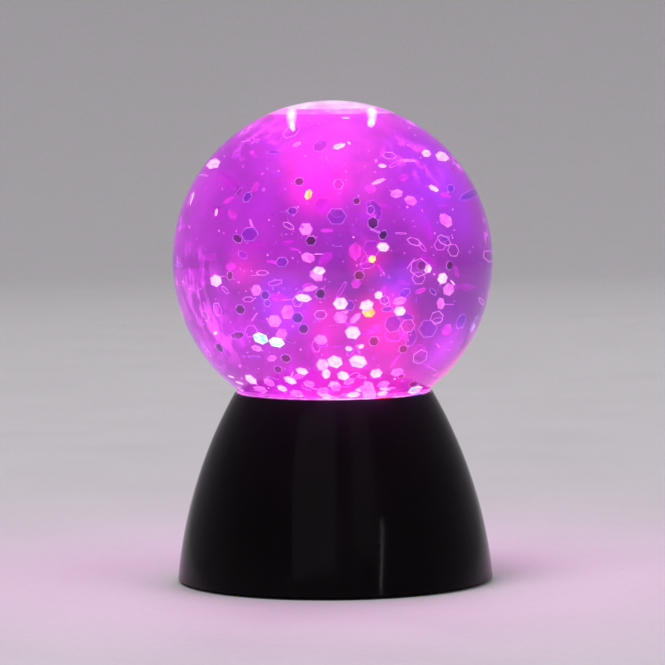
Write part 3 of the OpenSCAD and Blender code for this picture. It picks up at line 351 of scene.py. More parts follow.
def globe_clear():
    """Clear rigid plastic of the globe, with a pink tint that stands in for the lamps' light. Above the
    water it carries a painted glow.
    """
    material, tree, shader = principled(
        "globe_clear",
        Base_Color=rgb(0.97, 0.70, 0.99),
        Transmission_Weight=1.0,
        Roughness=0.0,
        IOR=PLASTIC_IOR,
        Specular_IOR_Level=0.2,
    )
    # Painted glow on the wall above the water's level
    cap_glow = spread(tree, height(tree), 0.0, CAP_GLOW_STRENGTH, LEVEL_Z + CAP_GLOW_FROM, LEVEL_Z + CAP_GLOW_FULL)
    tree.links.new(ramp(tree, noise(tree, CAP_GLOW_GRAIN), *CAP_GLOW_TONES), shader.inputs["Emission Color"])
    tree.links.new(cap_glow, shader.inputs["Emission Strength"])
    material.cycles.emission_sampling = "NONE"
    return material


def glint_at(degrees, depth):
    """Point on the water's skin, by its direction as seen from the front and its depth."""
    way = math.radians(degrees)
    out = math.sqrt(GLOBE_IN**2 - depth**2)
    return GLOBE_MIDDLE + Vector((out * math.cos(way), depth, out * math.sin(way)))


def water_light(tree):
    """Colours of the light in the water: drifts, then patches, streaks, glints and wisps over them."""
    colours = ramp(tree, noise(tree, GROUND_GRAIN), *GROUND_TONES)
    for at, reach, colour in GLOWS:
        colours = mix(tree, near(tree, at, reach), colours, colour)
    for at, reach, colour in STREAKS:
        colours = mix(tree, near(tree, at, reach, STREAK_DRAW), colours, colour)
    broken = spread(tree, noise(tree, GLINT_GRAIN, stretch=GLINT_DRAW), 0.0, 1.0, *GLINT_BREAK)
    for degrees, depth, reach, colour in GLINTS:
        share = calc(tree, "MULTIPLY", broken, near(tree, glint_at(degrees, depth), reach))
        colours = mix(tree, share, colours, colour)
    drawn = spread(tree, noise(tree, WISP_GRAIN, stretch=WISP_DRAW), 0.0, WISP_MOST, *WISP_BREAK)
    for at, reach in WISPS:
        share = calc(tree, "MULTIPLY", drawn, near(tree, at, reach))
        colours = mix(tree, share, colours, WISP_COLOUR)
    return colours


def water():
    """Water lit from below, in painted light: a tint that takes out the green stands in for the lamps'
    magenta light, and it carries a patchy painted violet and pink glow.
    """
    material, tree, shader = principled(
        "water", Base_Color=rgb(0.92, 0.42, 0.96), Transmission_Weight=1.0, Roughness=0.0, IOR=WATER_IOR
    )
    tree.links.new(water_light(tree), shader.inputs["Emission Color"])
    clouds = spread(tree, noise(tree, CLOUD_GRAIN, CLOUD_DETAIL, CLOUD_DRAW), *CLOUD_STRENGTH)
    tree.links.new(clouds, shader.inputs["Emission Strength"])
    # The lamps' magenta light, painted in as an absorbing tint in the water's body
    lamp_tint = tree.nodes.new("ShaderNodeVolumeAbsorption")
    lamp_tint.inputs["Color"].default_value = LAMP_TINT_COLOUR
    lamp_tint.inputs["Density"].default_value = LAMP_TINT_DENSITY
    tree.links.new(lamp_tint.outputs["Volume"], tree.nodes["Material Output"].inputs["Volume"])
    material.cycles.emission_sampling = "NONE"
    return material


# Foil of the glitter

# The foil's painted glow: size of its crinkle, and the noise's values below which it is dim and above which
# it is bright
CRINKLE = 1.6 * MM
DIM_BELOW = 0.35
BRIGHT_ABOVE = 0.6


def foil(name, dim, bright, strength, alpha=1.0):
    """Glitter foil with a painted glow that stands in for the lamps' light it catches, crinkled so that the
    glow is uneven.
    """
    material, tree, shader = principled(
        name, Base_Color=rgb(0.02, 0.005, 0.03), Roughness=0.2, Alpha=alpha, Specular_IOR_Level=0.1
    )
    colours = ramp(tree, noise(tree, CRINKLE), (DIM_BELOW, dim), (BRIGHT_ABOVE, bright))
    tree.links.new(colours, shader.inputs["Emission Color"])
    shader.inputs["Emission Strength"].default_value = strength
    material.cycles.emission_sampling = "NONE"
    return material


# Lamps and what they shine on

# The gasket glows in patches. Waves round it, twice a turn, tint it about these angles in degrees
GASKET_GRAIN = 4 * MM
GASKET_TONES = ((0.35, rgb(1.0, 0.12, 0.72)), (0.62, rgb(1.0, 0.65, 1.0)))
WAVES_A_TURN = 2
GASKET_TINTS = {-31.0: rgb(0.06, 0.12, 1.0), -58.0: rgb(1.0, 0.02, 0.08)}
TINT_WAVE = (0.965, 0.992)
# It is brightest about this angle: least and most light, and the wave's values where they are reached
GASKET_BRIGHT = -75.0
GASKET_LIGHT = (0.10, 0.75)
LIGHT_WAVE = (-0.6, 1.0)

# Shares of a lens's height where its tip begins to pale and is palest
LENS_TIP = (0.4, 0.95)


def gasket_silicone():
    """Clear silicone ring that glows with the lamps' light, bluest and reddest beside the lamps."""
    material, tree, shader = principled(
        "gasket_silicone", Base_Color=rgb(0.55, 0.28, 0.60), Roughness=0.25, Transmission_Weight=0.3
    )
    colours = ramp(tree, noise(tree, GASKET_GRAIN, 1.0), *GASKET_TONES)
    for start, colour in GASKET_TINTS.items():
        share = spread(tree, around(tree, WAVES_A_TURN, start), 0.0, 1.0, *TINT_WAVE)
        colours = mix(tree, share, colours, colour)
    tree.links.new(colours, shader.inputs["Emission Color"])
    strength = spread(tree, around(tree, WAVES_A_TURN, GASKET_BRIGHT), *GASKET_LIGHT, *LIGHT_WAVE)
    tree.links.new(strength, shader.inputs["Emission Strength"])
    return material


def lamp(name, core, colour, strength):
    """Lens of a lit LED, palest at its tip."""
    material, tree, shader = principled(name, Base_Color=colour, Roughness=0.1)
    lens_low, lens_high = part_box(name + "_1")
    rise = spread(tree, height(tree), 0.0, 1.0, lens_low.z, lens_high.z)
    begins, palest = LENS_TIP
    tree.links.new(ramp(tree, rise, (begins, colour), (palest, core)), shader.inputs["Emission Color"])
    shader.inputs["Emission Strength"].default_value = strength
    return material


def dish_white():
    """White reflector, washed with the lamps' light."""
    material, tree, shader = principled(
        "dish_white", Base_Color=rgb(0.85, 0.85, 0.86), Roughness=0.35, Emission_Strength=0.5
    )
    wash_size = 12 * MM
    colours = tones(tree, noise(tree, wash_size, 1.0), rgb(0.5, 0.08, 0.9), rgb(1.0, 0.15, 0.6))
    tree.links.new(colours, shader.inputs["Emission Color"])
    return material


# Electric pieces

# How far from a cell's middle its copper band begins
CELL_BAND = 12 * MM
# How squarely a face has to look along the cell to be one of its ends
END_FACING = 0.7
BAND_COPPER = rgb(0.55, 0.24, 0.10)
END_STEEL = rgb(0.62, 0.60, 0.57)


def cell_sleeve():
    """Battery cell: a dark sleeve with a copper band at the nub's end, and bare metal ends."""
    material, tree, shader = principled("cell_sleeve")
    wear_size = 3 * MM
    rough = (0.2, 0.32)
    parts = axes(tree, place(tree))
    # The middle cell lies the other way round, so its sign is -1 and the outer cells' is 1
    outer = calc(tree, "GREATER_THAN", calc(tree, "ABSOLUTE", parts["X"]), CELL_PITCH / 2)
    sign = calc(tree, "MULTIPLY_ADD", outer, 2.0, -1.0)
    band = calc(tree, "GREATER_THAN", calc(tree, "MULTIPLY", parts["Y"], sign), CELL_BAND)
    ends = calc(tree, "GREATER_THAN", facing_along(tree, "Y"), END_FACING)
    wear = noise(tree, wear_size)
    colours = tones(tree, wear, rgb(0.012, 0.014, 0.022), rgb(0.02, 0.024, 0.036))
    colours = mix(tree, band, colours, BAND_COPPER)
    colours = mix(tree, ends, colours, END_STEEL)
    tree.links.new(colours, shader.inputs["Base Color"])
    tree.links.new(calc(tree, "MAXIMUM", band, ends), shader.inputs["Metallic"])
    tree.links.new(spread(tree, wear, *rough), shader.inputs["Roughness"])
    return material


def board_green():
    """Circuit board: green mask over copper tracks."""
    material, tree, shader = principled("board_green", Coat_Weight=0.3, Coat_Roughness=0.2)
    track_pitch = 3 * MM
    track_depth = -0.03 * MM
    speck_size = 1.2 * MM
    rough = (0.28, 0.42)
    track = (0.05, rgb(0.02, 0.16, 0.045))
    mask = (0.09, rgb(0.007, 0.065, 0.02))
    texture = tree.nodes.new("ShaderNodeTexVoronoi")
    texture.feature = "DISTANCE_TO_EDGE"
    texture.inputs["Scale"].default_value = 1 / track_pitch
    tree.links.new(place(tree), texture.inputs["Vector"])
    tracks = texture.outputs["Distance"]
    tree.links.new(ramp(tree, tracks, track, mask), shader.inputs["Base Color"])
    tree.links.new(spread(tree, noise(tree, speck_size), *rough), shader.inputs["Roughness"])
    bump(tree, shader, tracks, track_depth)
    return material


# Finishes, by the record's slots

# Moulded ones: darker and lighter colour, roughness, and grain and relief where they aren't the usual ones
MOULDED = {
    "seal_rubber": (rgb(0.012, 0.012, 0.013), rgb(0.02, 0.02, 0.02), 0.6),
    "nut_black": (rgb(0.012, 0.012, 0.013), rgb(0.02, 0.02, 0.021), 0.4),
    "stirrer_white": (rgb(0.75, 0.74, 0.76), rgb(0.82, 0.81, 0.83), 0.35, 1.5 * MM),
    "plate_black": (rgb(0.010, 0.010, 0.011), rgb(0.018, 0.018, 0.019), 0.5, 0.35 * MM, 0.05 * MM),
    "foot_rubber": (rgb(0.014, 0.014, 0.014), rgb(0.026, 0.026, 0.026), 0.75, 0.3 * MM),
    "chip_black": (rgb(0.01, 0.01, 0.01), rgb(0.018, 0.018, 0.018), 0.5, 0.2 * MM),
    "knob_black": (rgb(0.010, 0.010, 0.011), rgb(0.016, 0.016, 0.017), 0.35),
    "lead_red": (rgb(0.35, 0.01, 0.01), rgb(0.45, 0.015, 0.015), 0.4),
    "lead_black": (rgb(0.01, 0.01, 0.01), rgb(0.02, 0.02, 0.02), 0.4),
}
CAP_CLEAR = (rgb(0.75, 0.74, 0.8), rgb(0.82, 0.8, 0.86), 0.3, 2 * MM)
# Metal ones: darker and lighter colour, roughness, and how the grain is drawn where it has a direction
METALS = {
    "spindle_steel": (rgb(0.5, 0.5, 0.52), rgb(0.65, 0.65, 0.67), 0.18, (1.0, 1.0, 12.0)),
    "magnet_nickel": (rgb(0.55, 0.54, 0.52), rgb(0.68, 0.67, 0.64), 0.15),
    "screw_steel": (rgb(0.42, 0.42, 0.44), rgb(0.6, 0.6, 0.62), 0.28),
    "contact_nickel": (rgb(0.6, 0.58, 0.53), rgb(0.72, 0.7, 0.66), 0.2),
    "motor_steel": (rgb(0.48, 0.48, 0.5), rgb(0.6, 0.6, 0.62), 0.25, (1.0, 1.0, 15.0)),
    "bracket_steel": (rgb(0.5, 0.5, 0.51), rgb(0.62, 0.62, 0.63), 0.3, (0.1, 1.0, 1.0)),
    "switch_steel": (rgb(0.5, 0.5, 0.5), rgb(0.62, 0.62, 0.62), 0.3),
}
# Lamps: colour at the tip, colour of the lens, strength
LAMPS = {
    "led_blue": (rgb(0.20, 0.35, 1.0), rgb(0.01, 0.03, 1.0), 2.4),
    "led_red": (rgb(1.0, 0.22, 0.20), rgb(1.0, 0.01, 0.02), 2.0),
}
FINISHES = {
    "globe_clear": globe_clear(),
    "water": water(),
    "glitter_foil": foil("glitter_foil", rgb(1.0, 0.3, 0.9), rgb(1.0, 0.6, 1.0), 1.0),
    "cap_clear": moulded("cap_clear", *CAP_CLEAR, Transmission_Weight=0.5),
    "gasket_silicone": gasket_silicone(),
    "base_black": base_black(),
    "cell_sleeve": cell_sleeve(),
    "dish_white": dish_white(),
    "board_green": board_green(),
}
for make, looks in ((moulded, MOULDED), (metal, METALS), (lamp, LAMPS)):
    for finish, values in looks.items():
        FINISHES[finish] = make(finish, *values)


def dress_nodes():
    """The CAD nodes' own finishes give way to the ones made here."""
    for node in NODES.values():
        for slot in node.material_slots:
            slot.material = FINISHES[slot.material.name.split(".")[0]]


# Meshes

SHARP_ANGLE = math.radians(30.0)


def make_mesh(name, verts, faces, materials):
    """New mesh with its materials."""
    mesh = bpy.data.meshes.new(name)
    mesh.from_pydata(verts, [], faces)
    for material in materials:
        mesh.materials.append(material)
    return mesh


def add_object(name, data):
    """New object in the scene."""
    added = bpy.data.objects.new(name, data)
    SCENE.collection.objects.link(added)
    return added


def make_piece(mesh, body, stands_for=()):
    """New piece that rides on a body."""
    piece = add_object(mesh.name, mesh)
    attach(piece, body)
    if stands_for:
        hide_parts(*stands_for)
    return piece


def smooth(mesh):
    """Outward normals, smooth faces, and sharp edges where faces meet at an angle."""
    work = bmesh.new()
    work.from_mesh(mesh)
    bmesh.ops.recalc_face_normals(work, faces=work.faces)
    work.to_mesh(mesh)
    work.free()
    mesh.shade_smooth()
    mesh.set_sharp_from_angle(angle=SHARP_ANGLE)


def lathe(profile, sides, shift=0.0, closed=True):
    """Vertices and faces of a form of revolution, turned by a share of a side. The first of the profile's
    (radius, height) points lies on the axis, and so does the last one of a closed form."""
    rings = profile[1:-1] if closed else profile[1:]
    verts = [(0.0, 0.0, profile[0][1])]
    for radius, z in rings:
        for k in range(sides):
            angle = 2 * math.pi * (k + shift) / sides
            verts.append((radius * math.cos(angle), radius * math.sin(angle), z))
    tip = len(verts)
    if closed:
        verts.append((0.0, 0.0, profile[-1][1]))
    faces = []
    for k in range(sides):
        after = (k + 1) % sides
        faces.append((0, 1 + k, 1 + after))
        if closed:
            faces.append((tip, tip - sides + after, tip - sides + k))
        for row in range(1, tip - sides, sides):
            faces.append((row + k, row + sides + k, row + sides + after, row + after))
    return verts, faces


# Shapes of the globe and the water

SIDES = 160
ARC_STEPS = 90
# The water's skin reaches this far into the ball's wall, so that light meets no air gap between the two. In
# the neck it stays as far off the wall
CONTACT = 0.03 * MM
# The water turns by this share of a side, so that its edges don't lie along the wall's
WATER_SHIFT = 0.5
# The water's edge climbs the wall: height, width, steps, and how late it rises
EDGE_H = 0.7 * MM
EDGE_REACH = 2.8 * MM
EDGE_STEPS = 8
EDGE_BEND = 3
# Room round the stirrer
CUP_GAP = 1.2 * MM


def arc(radius, start, end):
    """Points (radius, height) about the globe's middle, from one angle above the horizon to another."""
    points = []
    for i in range(ARC_STEPS + 1):
        angle = start + (end - start) * i / ARC_STEPS
        points.append((radius * math.cos(angle), GLOBE_Z + radius * math.sin(angle)))
    return points


def make_globe():
    """Clear globe: outside from the top down to the neck, then inside back up."""
    top = math.pi / 2
    outside = arc(GLOBE_R, top, -math.acos(NECK_R / GLOBE_R))
    inside = arc(GLOBE_IN, -math.acos(NECK_IN / GLOBE_IN), top)
    profile = outside + [(NECK_R, NECK_Z), (NECK_IN, NECK_Z)] + inside
    profile[0] = (0.0, GLOBE_Z + GLOBE_R)
    profile[-1] = (0.0, GLOBE_Z + GLOBE_IN)
    verts, faces = lathe(profile, SIDES)
    mesh = make_mesh("globe_wall", verts, faces, [FINISHES["globe_clear"]])
    smooth(mesh)
    globe = make_piece(mesh, "base", ["globe"])
    globe.visible_shadow = False


def make_water():
    """Water: its level with a rim that climbs the wall, the ball, and the neck down to the cap."""
    radius = GLOBE_IN + CONTACT
    climb = math.asin((LEVEL_Z + EDGE_H - GLOBE_Z) / radius)
    edge_r = radius * math.cos(climb)
    profile = [(0.0, LEVEL_Z)]
    for i in range(EDGE_STEPS + 1):
        share = i / EDGE_STEPS
        profile.append((edge_r - EDGE_REACH * (1 - share), LEVEL_Z + EDGE_H * share**EDGE_BEND))
    profile += arc(radius, climb, -math.acos(NECK_IN / radius))[1:]
    cup_r = impeller_high.x + CUP_GAP
    neck_r = NECK_IN - CONTACT
    neck_top = profile[-1][1]
    profile += [(neck_r, neck_top), (neck_r, cap_high.z), (cup_r, cap_high.z)]
    profile += [(cup_r, impeller_low.z), (0.0, impeller_low.z)]
    verts, faces = lathe(profile, SIDES, WATER_SHIFT)
    mesh = make_mesh("water_ball", verts, faces, [FINISHES["water"]])
    smooth(mesh)
    fill = make_piece(mesh, "swirl", ["liquid_fill"])
    fill.visible_shadow = False


# Glitter

# Faces and edges of the foil, lit and shaded copies of one foil that differ in their painted glow: dim and
# bright colour of the glow, its strength, and opacity where it isn't full
FOIL_LOOKS = {
    "clear": (rgb(0.35, 0.03, 0.55), rgb(0.6, 0.08, 0.75), 0.5, 0.2),
    # The dark kind is the foil painted in shade, the hot kind the foil painted in the lamps' full light
    "dark": (rgb(0.0, 0.0, 0.001), rgb(0.010, 0.001, 0.03), 1.0),
    "hot": (rgb(1.0, 0.55, 0.97), rgb(1.0, 1.0, 1.0), 2.4),
    "ice": (rgb(0.02, 0.9, 1.0), rgb(0.5, 1.0, 0.9), 3.2),
    "pale": (rgb(1.0, 0.25, 0.85), rgb(1.0, 0.6, 1.0), 1.1),
    "violet": (rgb(0.10, 0.008, 0.45), rgb(0.22, 0.02, 0.65), 0.8, 0.55),
    "pink": (rgb(0.75, 0.04, 0.65), rgb(1.0, 0.12, 0.95), 0.9),
    "haze": (rgb(0.55, 0.03, 0.55), rgb(0.9, 0.10, 0.9), 0.8, 0.4),
    "yellow": (rgb(0.9, 0.55, 0.0), rgb(0.9, 1.0, 0.04), 3.0),
    "soft_edge": (rgb(0.42, 0.20, 0.85), rgb(0.85, 0.60, 1.0), 0.95, 0.9),
    "bright_edge": (rgb(1.0, 0.25, 0.9), rgb(1.0, 0.75, 1.0), 1.1),
}
FOIL_NAMES = list(FOIL_LOOKS)
# Edges of the kinds whose edge doesn't look like the face: a rim with a painted highlight, bright or soft
EDGES = {
    "dark": "soft_edge",
    "violet": "soft_edge",
    "pale": "bright_edge",
    "clear": "bright_edge",
    "hot": "bright_edge",
}
FLAKE_SIDES = 6
FLAKE_T = 0.15 * MM
EDGE_W = 0.2 * MM
# A flake's face is at least this share of its width from middle to corner
FACE_LEAST = 0.3
# Corners of the CAD's flakes that lie closer than this are one corner
WELD = 0.001 * MM

# Flakes at the front lie on one shell for each kind
SHELL_KINDS = ("clear", "dark", "hot", "ice", "pale", "violet", "pink", "yellow")
SHELL_R = fill_high.x - 0.06 * GLOBE_R
SHELL_STEP = 0.032 * GLOBE_R
SHELL_NEAR = 0.05
FRONT_Y = 4 * MM

# How often each kind comes among the other flakes: high up, near the bottom, and out at the back, where the
# ball draws them into soft smears. Near the bottom, by the lamps, more of them carry the brightest painted
# glow and fewer are painted in shade
DRIFT_SHARES = {"clear": 20, "dark": 16, "hot": 10, "pale": 12, "violet": 16, "pink": 26}
LOW_SHARES = {"clear": 8, "dark": 8, "hot": 24, "pale": 24, "violet": 6, "pink": 30}
BACK_SHARES = {"haze": 62, "violet": 16, "clear": 22}
LOW_Z = GLOBE_Z - GLOBE_R / 2
BACK_OUT = 0.28 * GLOBE_R

# Specks: number, least and greatest width, and kinds
SPECK_COUNT = 420
SPECK_SIZE = (0.25 * MM, 0.8 * MM)
SPECK_SHARES = {"pale": 40, "hot": 12, "haze": 10, "violet": 13, "dark": 25}
# How far they stay from the wall, above the stirrer and below the water's level
SPECK_WALL = 3 * MM
SPECK_ABOVE = 4 * MM
SPECK_BELOW = 2 * MM
SEED = 11


class Glitter:
    """Flakes gathered into one mesh."""

    def __init__(self):
        self.verts = []
        self.faces = []
        self.indices = []

    def add(self, kind, middle, normal, along, size):
        """One flake: a face within a narrow edge, on both sides."""
        across = normal.cross(along)
        start = len(self.verts)
        half = normal * (FLAKE_T / 2)
        outer = size / 2
        inner = max(outer - EDGE_W, size * FACE_LEAST)
        for radius, lift in ((inner, half), (outer, half), (outer, -half), (inner, -half)):
            for k in range(FLAKE_SIDES):
                angle = 2 * math.pi * k / FLAKE_SIDES
                way = along * math.cos(angle) + across * math.sin(angle)
                self.verts.append(middle + lift + way * radius)
        self.add_faces(kind, start, len(self.verts) - FLAKE_SIDES)

    def add_faces(self, kind, first, last):
        """Faces of one flake, from the numbers of its first and last ring's first vertex."""
        face = FOIL_NAMES.index(kind)
        edge = FOIL_NAMES.index(EDGES.get(kind, kind))
        self.faces.append(tuple(range(first, first + FLAKE_SIDES)))
        self.faces.append(tuple(reversed(range(last, last + FLAKE_SIDES))))
        self.indices += [face, face]
        for row in range(first, last, FLAKE_SIDES):
            beyond = row + FLAKE_SIDES
            for k in range(FLAKE_SIDES):
                after = (k + 1) % FLAKE_SIDES
                self.faces.append((row + k, beyond + k, beyond + after, row + after))
                self.indices.append(edge)


def island(start, seen):
    """All vertices that edges join to the first one."""
    found = [start]
    seen.add(start)
    for vert in found:
        for edge in vert.link_edges:
            other = edge.other_vert(vert)
            if other not in seen:
                seen.add(other)
                found.append(other)
    return found


def cad_flakes():
    """Middle, normal, direction of a corner and width of each flake in the CAD."""
    work = bmesh.new()
    work.from_mesh(NODES["glitter_flakes"].data)
    bmesh.ops.remove_doubles(work, verts=work.verts, dist=WELD)
    flakes = []
    seen = set()
    for vert in work.verts:
        if vert in seen:
            continue
        corners = island(vert, seen)
        middle = sum((corner.co for corner in corners), Vector()) / len(corners)
        faces = {face for corner in corners for face in corner.link_faces}
        normal = max(faces, key=lambda face: face.calc_area()).normal.copy()
        along = vert.co - middle
        along -= normal * along.dot(normal)
        flakes.append((middle, normal, along.normalized(), 2 * along.length))
    work.free()
    return flakes


def pick(shares):
    """One of several kinds, as often as its share says."""
    return random.choices(list(shares), list(shares.values()))[0]


def kind_at(middle):
    """Kind of a flake: at the front by its shell, elsewhere mixed."""
    steps = (SHELL_R - (middle - GLOBE_MIDDLE).length) / SHELL_STEP
    shell = round(steps)
    on_shell = 0 <= shell < len(SHELL_KINDS) and abs(steps - shell) < SHELL_NEAR
    if middle.y < FRONT_Y and on_shell:
        return SHELL_KINDS[shell]
    if middle.z < LOW_Z:
        return pick(LOW_SHARES)
    if middle.y > 0 and math.hypot(middle.x, middle.z - GLOBE_Z) > BACK_OUT:
        return pick(BACK_SHARES)
    return pick(DRIFT_SHARES)


def random_direction():
    """Unit vector, every way as likely as any other."""
    return Vector((random.gauss(0, 1), random.gauss(0, 1), random.gauss(0, 1))).normalized()


def add_specks(glitter):
    """Tiny bits of foil at any place in the water."""
    low_z = impeller_high.z + SPECK_ABOVE
    high_z = LEVEL_Z - SPECK_BELOW
    count = 0
    while count < SPECK_COUNT:
        reach = random_direction() * (GLOBE_IN - SPECK_WALL)
        at = GLOBE_MIDDLE + reach * random.random() ** (1 / 3)
        if low_z < at.z < high_z:
            normal = random_direction()
            along = normal.orthogonal().normalized()
            kind = pick(SPECK_SHARES)
            glitter.add(kind, at, normal, along, random.uniform(*SPECK_SIZE))
            count += 1


def make_glitter():
    """All the flakes as one piece."""
    random.seed(SEED)
    glitter = Glitter()
    for middle, normal, along, size in cad_flakes():
        glitter.add(kind_at(middle), middle, normal, along, size)
    add_specks(glitter)
    foils = [foil("foil_" + kind, *looks) for kind, looks in FOIL_LOOKS.items()]
    mesh = make_mesh("glitter", glitter.verts, glitter.faces, foils)
    mesh.polygons.foreach_set("material_index", glitter.indices)
    piece = make_piece(mesh, "swirl", ["glitter_flakes"])
    piece.visible_shadow = False


# Switch: ribs on its knob, and the marks beside it

RIB_COUNT = 3
RIB_PITCH = 1.3 * MM
RIB_W = 0.6 * MM
RIB_LIFT = 0.25 * MM
RIB_SINK = 0.1 * MM
RIB_ROUND = 0.12 * MM
RIB_ROUND_STEPS = 3
RIB_MARGIN = 0.6 * MM
MARK_OUT = 9.5 * MM
MARK_H = 3.0 * MM
MARK_LINE = 0.6 * MM
MARK_SKIN = 0.06 * MM
BAR_STEPS = 4
RING_STEPS = 32
# A mark's four rows of points, in their order round the print
MARK_ROWS = (0, 1, 3, 2)
# The housing's back is found by rays that start here and run forwards
RAY_Y = 1.0
FORWARDS = Vector((0.0, -1.0, 0.0))
PRINT_WHITE = moulded("print_white", rgb(0.62, 0.62, 0.62), rgb(0.72, 0.72, 0.72), 0.5, 0.3 * MM)


def rounded_box(work, low, high):
    """Box between two corners, with its edges rounded."""
    corners = bmesh.ops.create_cube(work, size=1.0)["verts"]
    for corner in corners:
        corner.co = (low + high) / 2 + corner.co * (high - low)
    edges = list({edge for corner in corners for edge in corner.link_edges})
    bmesh.ops.bevel(
        work, geom=edges, offset=RIB_ROUND, segments=RIB_ROUND_STEPS, profile=0.5, affect="EDGES"
    )


def make_ribs():
    """Ribs that a finger catches on, across the knob's face."""
    knob = NODES["power_knob"].data.vertices
    face_y = max(vert.co.y for vert in knob)
    face = [vert.co for vert in knob if vert.co.y > face_y - RIB_SINK]
    middle_x = (min(co.x for co in face) + max(co.x for co in face)) / 2
    low_z = min(co.z for co in face) + RIB_MARGIN
    high_z = max(co.z for co in face) - RIB_MARGIN
    work = bmesh.new()
    for k in range(RIB_COUNT):
        x = middle_x + (k - (RIB_COUNT - 1) / 2) * RIB_PITCH
        low = Vector((x - RIB_W / 2, face_y - RIB_SINK, low_z))
        high = Vector((x + RIB_W / 2, face_y + RIB_LIFT, high_z))
        rounded_box(work, low, high)
    work.verts.index_update()
    verts = [vert.co.copy() for vert in work.verts]
    faces = [tuple(vert.index for vert in face.verts) for face in work.faces]
    work.free()
    mesh = make_mesh("knob_ribs", verts, faces, [FINISHES["knob_black"]])
    smooth(mesh)
    make_piece(mesh, "switch_knob")


def print_on_back(name, left, right, closed):
    """Thin print on the housing's back: a band between two rows of (x, z) points."""
    shell = NODES["base_shell"].data
    corners = [vert.co for vert in shell.vertices]
    housing = BVHTree.FromPolygons(corners, [face.vertices for face in shell.polygons])
    verts = []
    for lift in (MARK_SKIN, -MARK_SKIN):
        for x, z in left + right:
            at, normal = housing.ray_cast(Vector((x, RAY_Y, z)), FORWARDS)[:2]
            verts.append(at + normal * lift)
    count = len(left)
    starts = [row * count for row in MARK_ROWS]
    faces = []
    for k in range(count if closed else count - 1):
        after = (k + 1) % count
        for one, two in zip(starts, starts[1:] + starts[:1]):
            faces.append((one + k, one + after, two + after, two + k))
    if not closed:
        faces += [tuple(start + end for start in starts) for end in (0, count - 1)]
    mesh = make_mesh(name, verts, faces, [PRINT_WHITE])
    smooth(mesh)
    make_piece(mesh, "base")


def make_marks():
    """The marks for on and off, a bar and a ring."""
    knob_low, knob_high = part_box("power_knob")
    middle_z = (knob_low.z + knob_high.z) / 2
    heights = [middle_z - MARK_H / 2 + MARK_H * k / BAR_STEPS for k in range(BAR_STEPS + 1)]
    sides = [[(-MARK_OUT + shift * MARK_LINE / 2, z) for z in heights] for shift in (-1, 1)]
    print_on_back("mark_on", sides[0], sides[1], False)
    angles = [2 * math.pi * k / RING_STEPS for k in range(RING_STEPS)]
    rings = [
        [(MARK_OUT + radius * math.cos(angle), middle_z + radius * math.sin(angle)) for angle in angles]
        for radius in (MARK_H / 2, MARK_H / 2 - MARK_LINE)
    ]
    print_on_back("mark_off", rings[0], rings[1], True)


# Camera, fitted to the photograph's outline of the globe and the base

SENSOR = 36.0
LENS = 206.0
CAMERA_AT = Vector((0.0, -1.186, 0.158))
CAMERA_AIM = Vector((-0.0002, 0.0, 0.0776))
CAMERA_ROLL = math.radians(-0.54)
CLIP_START = 0.05
CLIP_END = 50.0


def make_camera():
    """Camera at the photograph's viewing angle."""
    camera = add_object("camera", bpy.data.cameras.new("camera"))
    camera.data.sensor_width = SENSOR
    camera.data.lens = LENS
    camera.data.clip_start = CLIP_START
    camera.data.clip_end = CLIP_END
    look = (CAMERA_AIM - CAMERA_AT).to_track_quat("-Z", "Y")
    turn = look @ Quaternion((0, 0, 1), CAMERA_ROLL)
    camera.matrix_world = Matrix.LocRotScale(CAMERA_AT, turn, None)
    SCENE.camera = camera


# Floor

FLOOR_R = 1.8
BEND_R = 0.9
BEND_STEPS = 16
BACK_H = 2.4
FLOOR_SIDES = 96
FLOOR_PALE = (rgb(0.62, 0.60, 0.62), rgb(0.65, 0.63, 0.65), 0.6, 3 * MM, 0.0)


def make_floor():
    """Pale floor that curves up into a round backdrop."""
    profile = [(0.0, 0.0), (FLOOR_R, 0.0)]
    for i in range(1, BEND_STEPS + 1):
        angle = math.pi / 2 * i / BEND_STEPS
        profile.append((FLOOR_R + BEND_R * math.sin(angle), BEND_R * (1 - math.cos(angle))))
    profile.append((FLOOR_R + BEND_R, BACK_H))
    verts, faces = lathe(profile, FLOOR_SIDES, closed=False)
    mesh = make_mesh("floor", verts, faces, [moulded("floor_pale", *FLOOR_PALE)])
    mesh.shade_smooth()
    floor = add_object("floor", mesh)


# Light

# Soft lights of the studio: place, width and power. All look at one point
SOFT_LIGHTS = {
    "key": (Vector((-1.0, -0.9, 1.6)), 1.1, 22.0),
    "fill": (Vector((1.3, -0.7, 1.1)), 0.9, 8.0),
    "back": (Vector((0.2, 1.3, 1.7)), 1.2, 14.0),
}
LIGHT_AIM = Vector((0.0, 0.0, 0.07))

# The lamp's own glow on what is round it
GLOW_POWER = 0.6
GLOW_COLOUR = (1.0, 0.12, 0.85)
GLOW_R = 0.8 * GLOBE_R

WORLD_COLOUR = rgb(0.95, 0.95, 1.0)
WORLD_STRENGTH = 0.22

# Soft panels that only the glossy housing mirrors: side to which and height at which each one stands in
# degrees, lean in degrees, width and height in metres, power
PANELS = {
    "panel_left": (-18.0, 30.0, 8.0, 1.2, 1.6, 2.6),
    "panel_right": (26.0, 32.0, -14.0, 0.6, 1.4, 0.7),
    "panel_strip": (35.0, 12.6, -18.0, 0.03, 0.6, 0.62),
}
PANEL_AWAY = 2.0


def area_light(name, at, aim, size, power):
    """Square soft light that looks at a point."""
    light = add_object(name, bpy.data.lights.new(name, "AREA"))
    light.data.size = size
    light.data.energy = power
    light.matrix_world = Matrix.LocRotScale(at, (aim - at).to_track_quat("-Z", "Y"), None)
    return light


def hide_source(light):
    """A light that lights things but shows in no gloss or glass."""
    light.visible_glossy = False
    light.visible_transmission = False


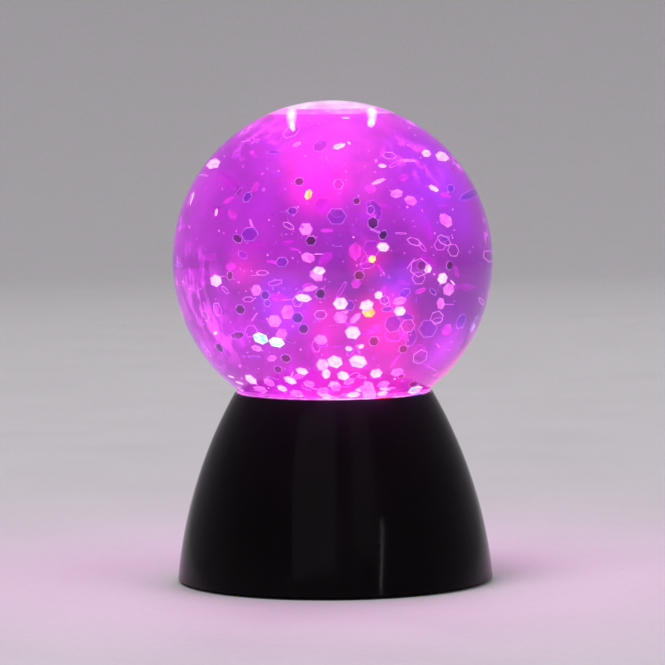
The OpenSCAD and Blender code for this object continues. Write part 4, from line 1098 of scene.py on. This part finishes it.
def make_lights():
    """Soft studio light, and the lamp's own glow on what is round it."""
    for name, (at, size, power) in SOFT_LIGHTS.items():
        hide_source(area_light(name, at, LIGHT_AIM, size, power))
    glow = add_object("glow", bpy.data.lights.new("glow", "POINT"))
    glow.data.energy = GLOW_POWER
    glow.data.color = GLOW_COLOUR
    glow.data.shadow_soft_size = GLOW_R
    glow.location = GLOBE_MIDDLE
    glow.visible_camera = False
    hide_source(glow)
    world = bpy.data.worlds.new("studio")
    world.use_nodes = True
    background = world.node_tree.nodes["Background"]
    background.inputs["Color"].default_value = WORLD_COLOUR
    background.inputs["Strength"].default_value = WORLD_STRENGTH
    SCENE.world = world


def make_panels():
    """Soft panels round the front, for the housing's gloss."""
    housing = bpy.data.collections.new("housing")
    housing.objects.link(NODES["base_shell"])
    for name, (side, rise, lean, width, tall, power) in PANELS.items():
        turn = Matrix.Rotation(math.radians(side), 3, "Z") @ Matrix.Rotation(math.radians(-rise), 3, "X")
        at = turn @ Vector((0.0, -PANEL_AWAY, 0.0))
        panel = area_light(name, at, Vector(), width, power)
        panel.data.shape = "RECTANGLE"
        panel.data.size_y = tall
        panel.rotation_euler.rotate_axis("Z", math.radians(lean))
        panel.light_linking.receiver_collection = housing


# Picture

BLOOM = {"Threshold": 1.0, "Strength": 0.22, "Size": 0.3}
BOUNCES = 24


def make_bloom():
    """A little light spreads round the brightest flakes."""
    SCENE.use_nodes = True
    tree = SCENE.node_tree
    tree.nodes.clear()
    picture = tree.nodes.new("CompositorNodeRLayers").outputs["Image"]
    glare = tree.nodes.new("CompositorNodeGlare")
    glare.glare_type = "BLOOM"
    for socket, value in BLOOM.items():
        glare.inputs[socket].default_value = value
    tree.links.new(picture, glare.inputs["Image"])
    output = tree.nodes.new("CompositorNodeComposite")
    tree.links.new(glare.outputs["Image"], output.inputs["Image"])


def set_light_paths():
    """Plain colours, enough bounces for light to pass wall, water and flakes, and no bright noise."""
    SCENE.view_settings.view_transform = "Standard"
    SCENE.cycles.use_denoising = True
    SCENE.cycles.max_bounces = BOUNCES
    SCENE.cycles.transmission_bounces = BOUNCES
    SCENE.cycles.transparent_max_bounces = BOUNCES
    SCENE.cycles.caustics_reflective = False
    SCENE.cycles.caustics_refractive = False


dress_nodes()
make_camera()
make_floor()
make_lights()
make_panels()
make_globe()
make_water()
make_glitter()
make_ribs()
make_marks()
make_bloom()
set_light_paths()
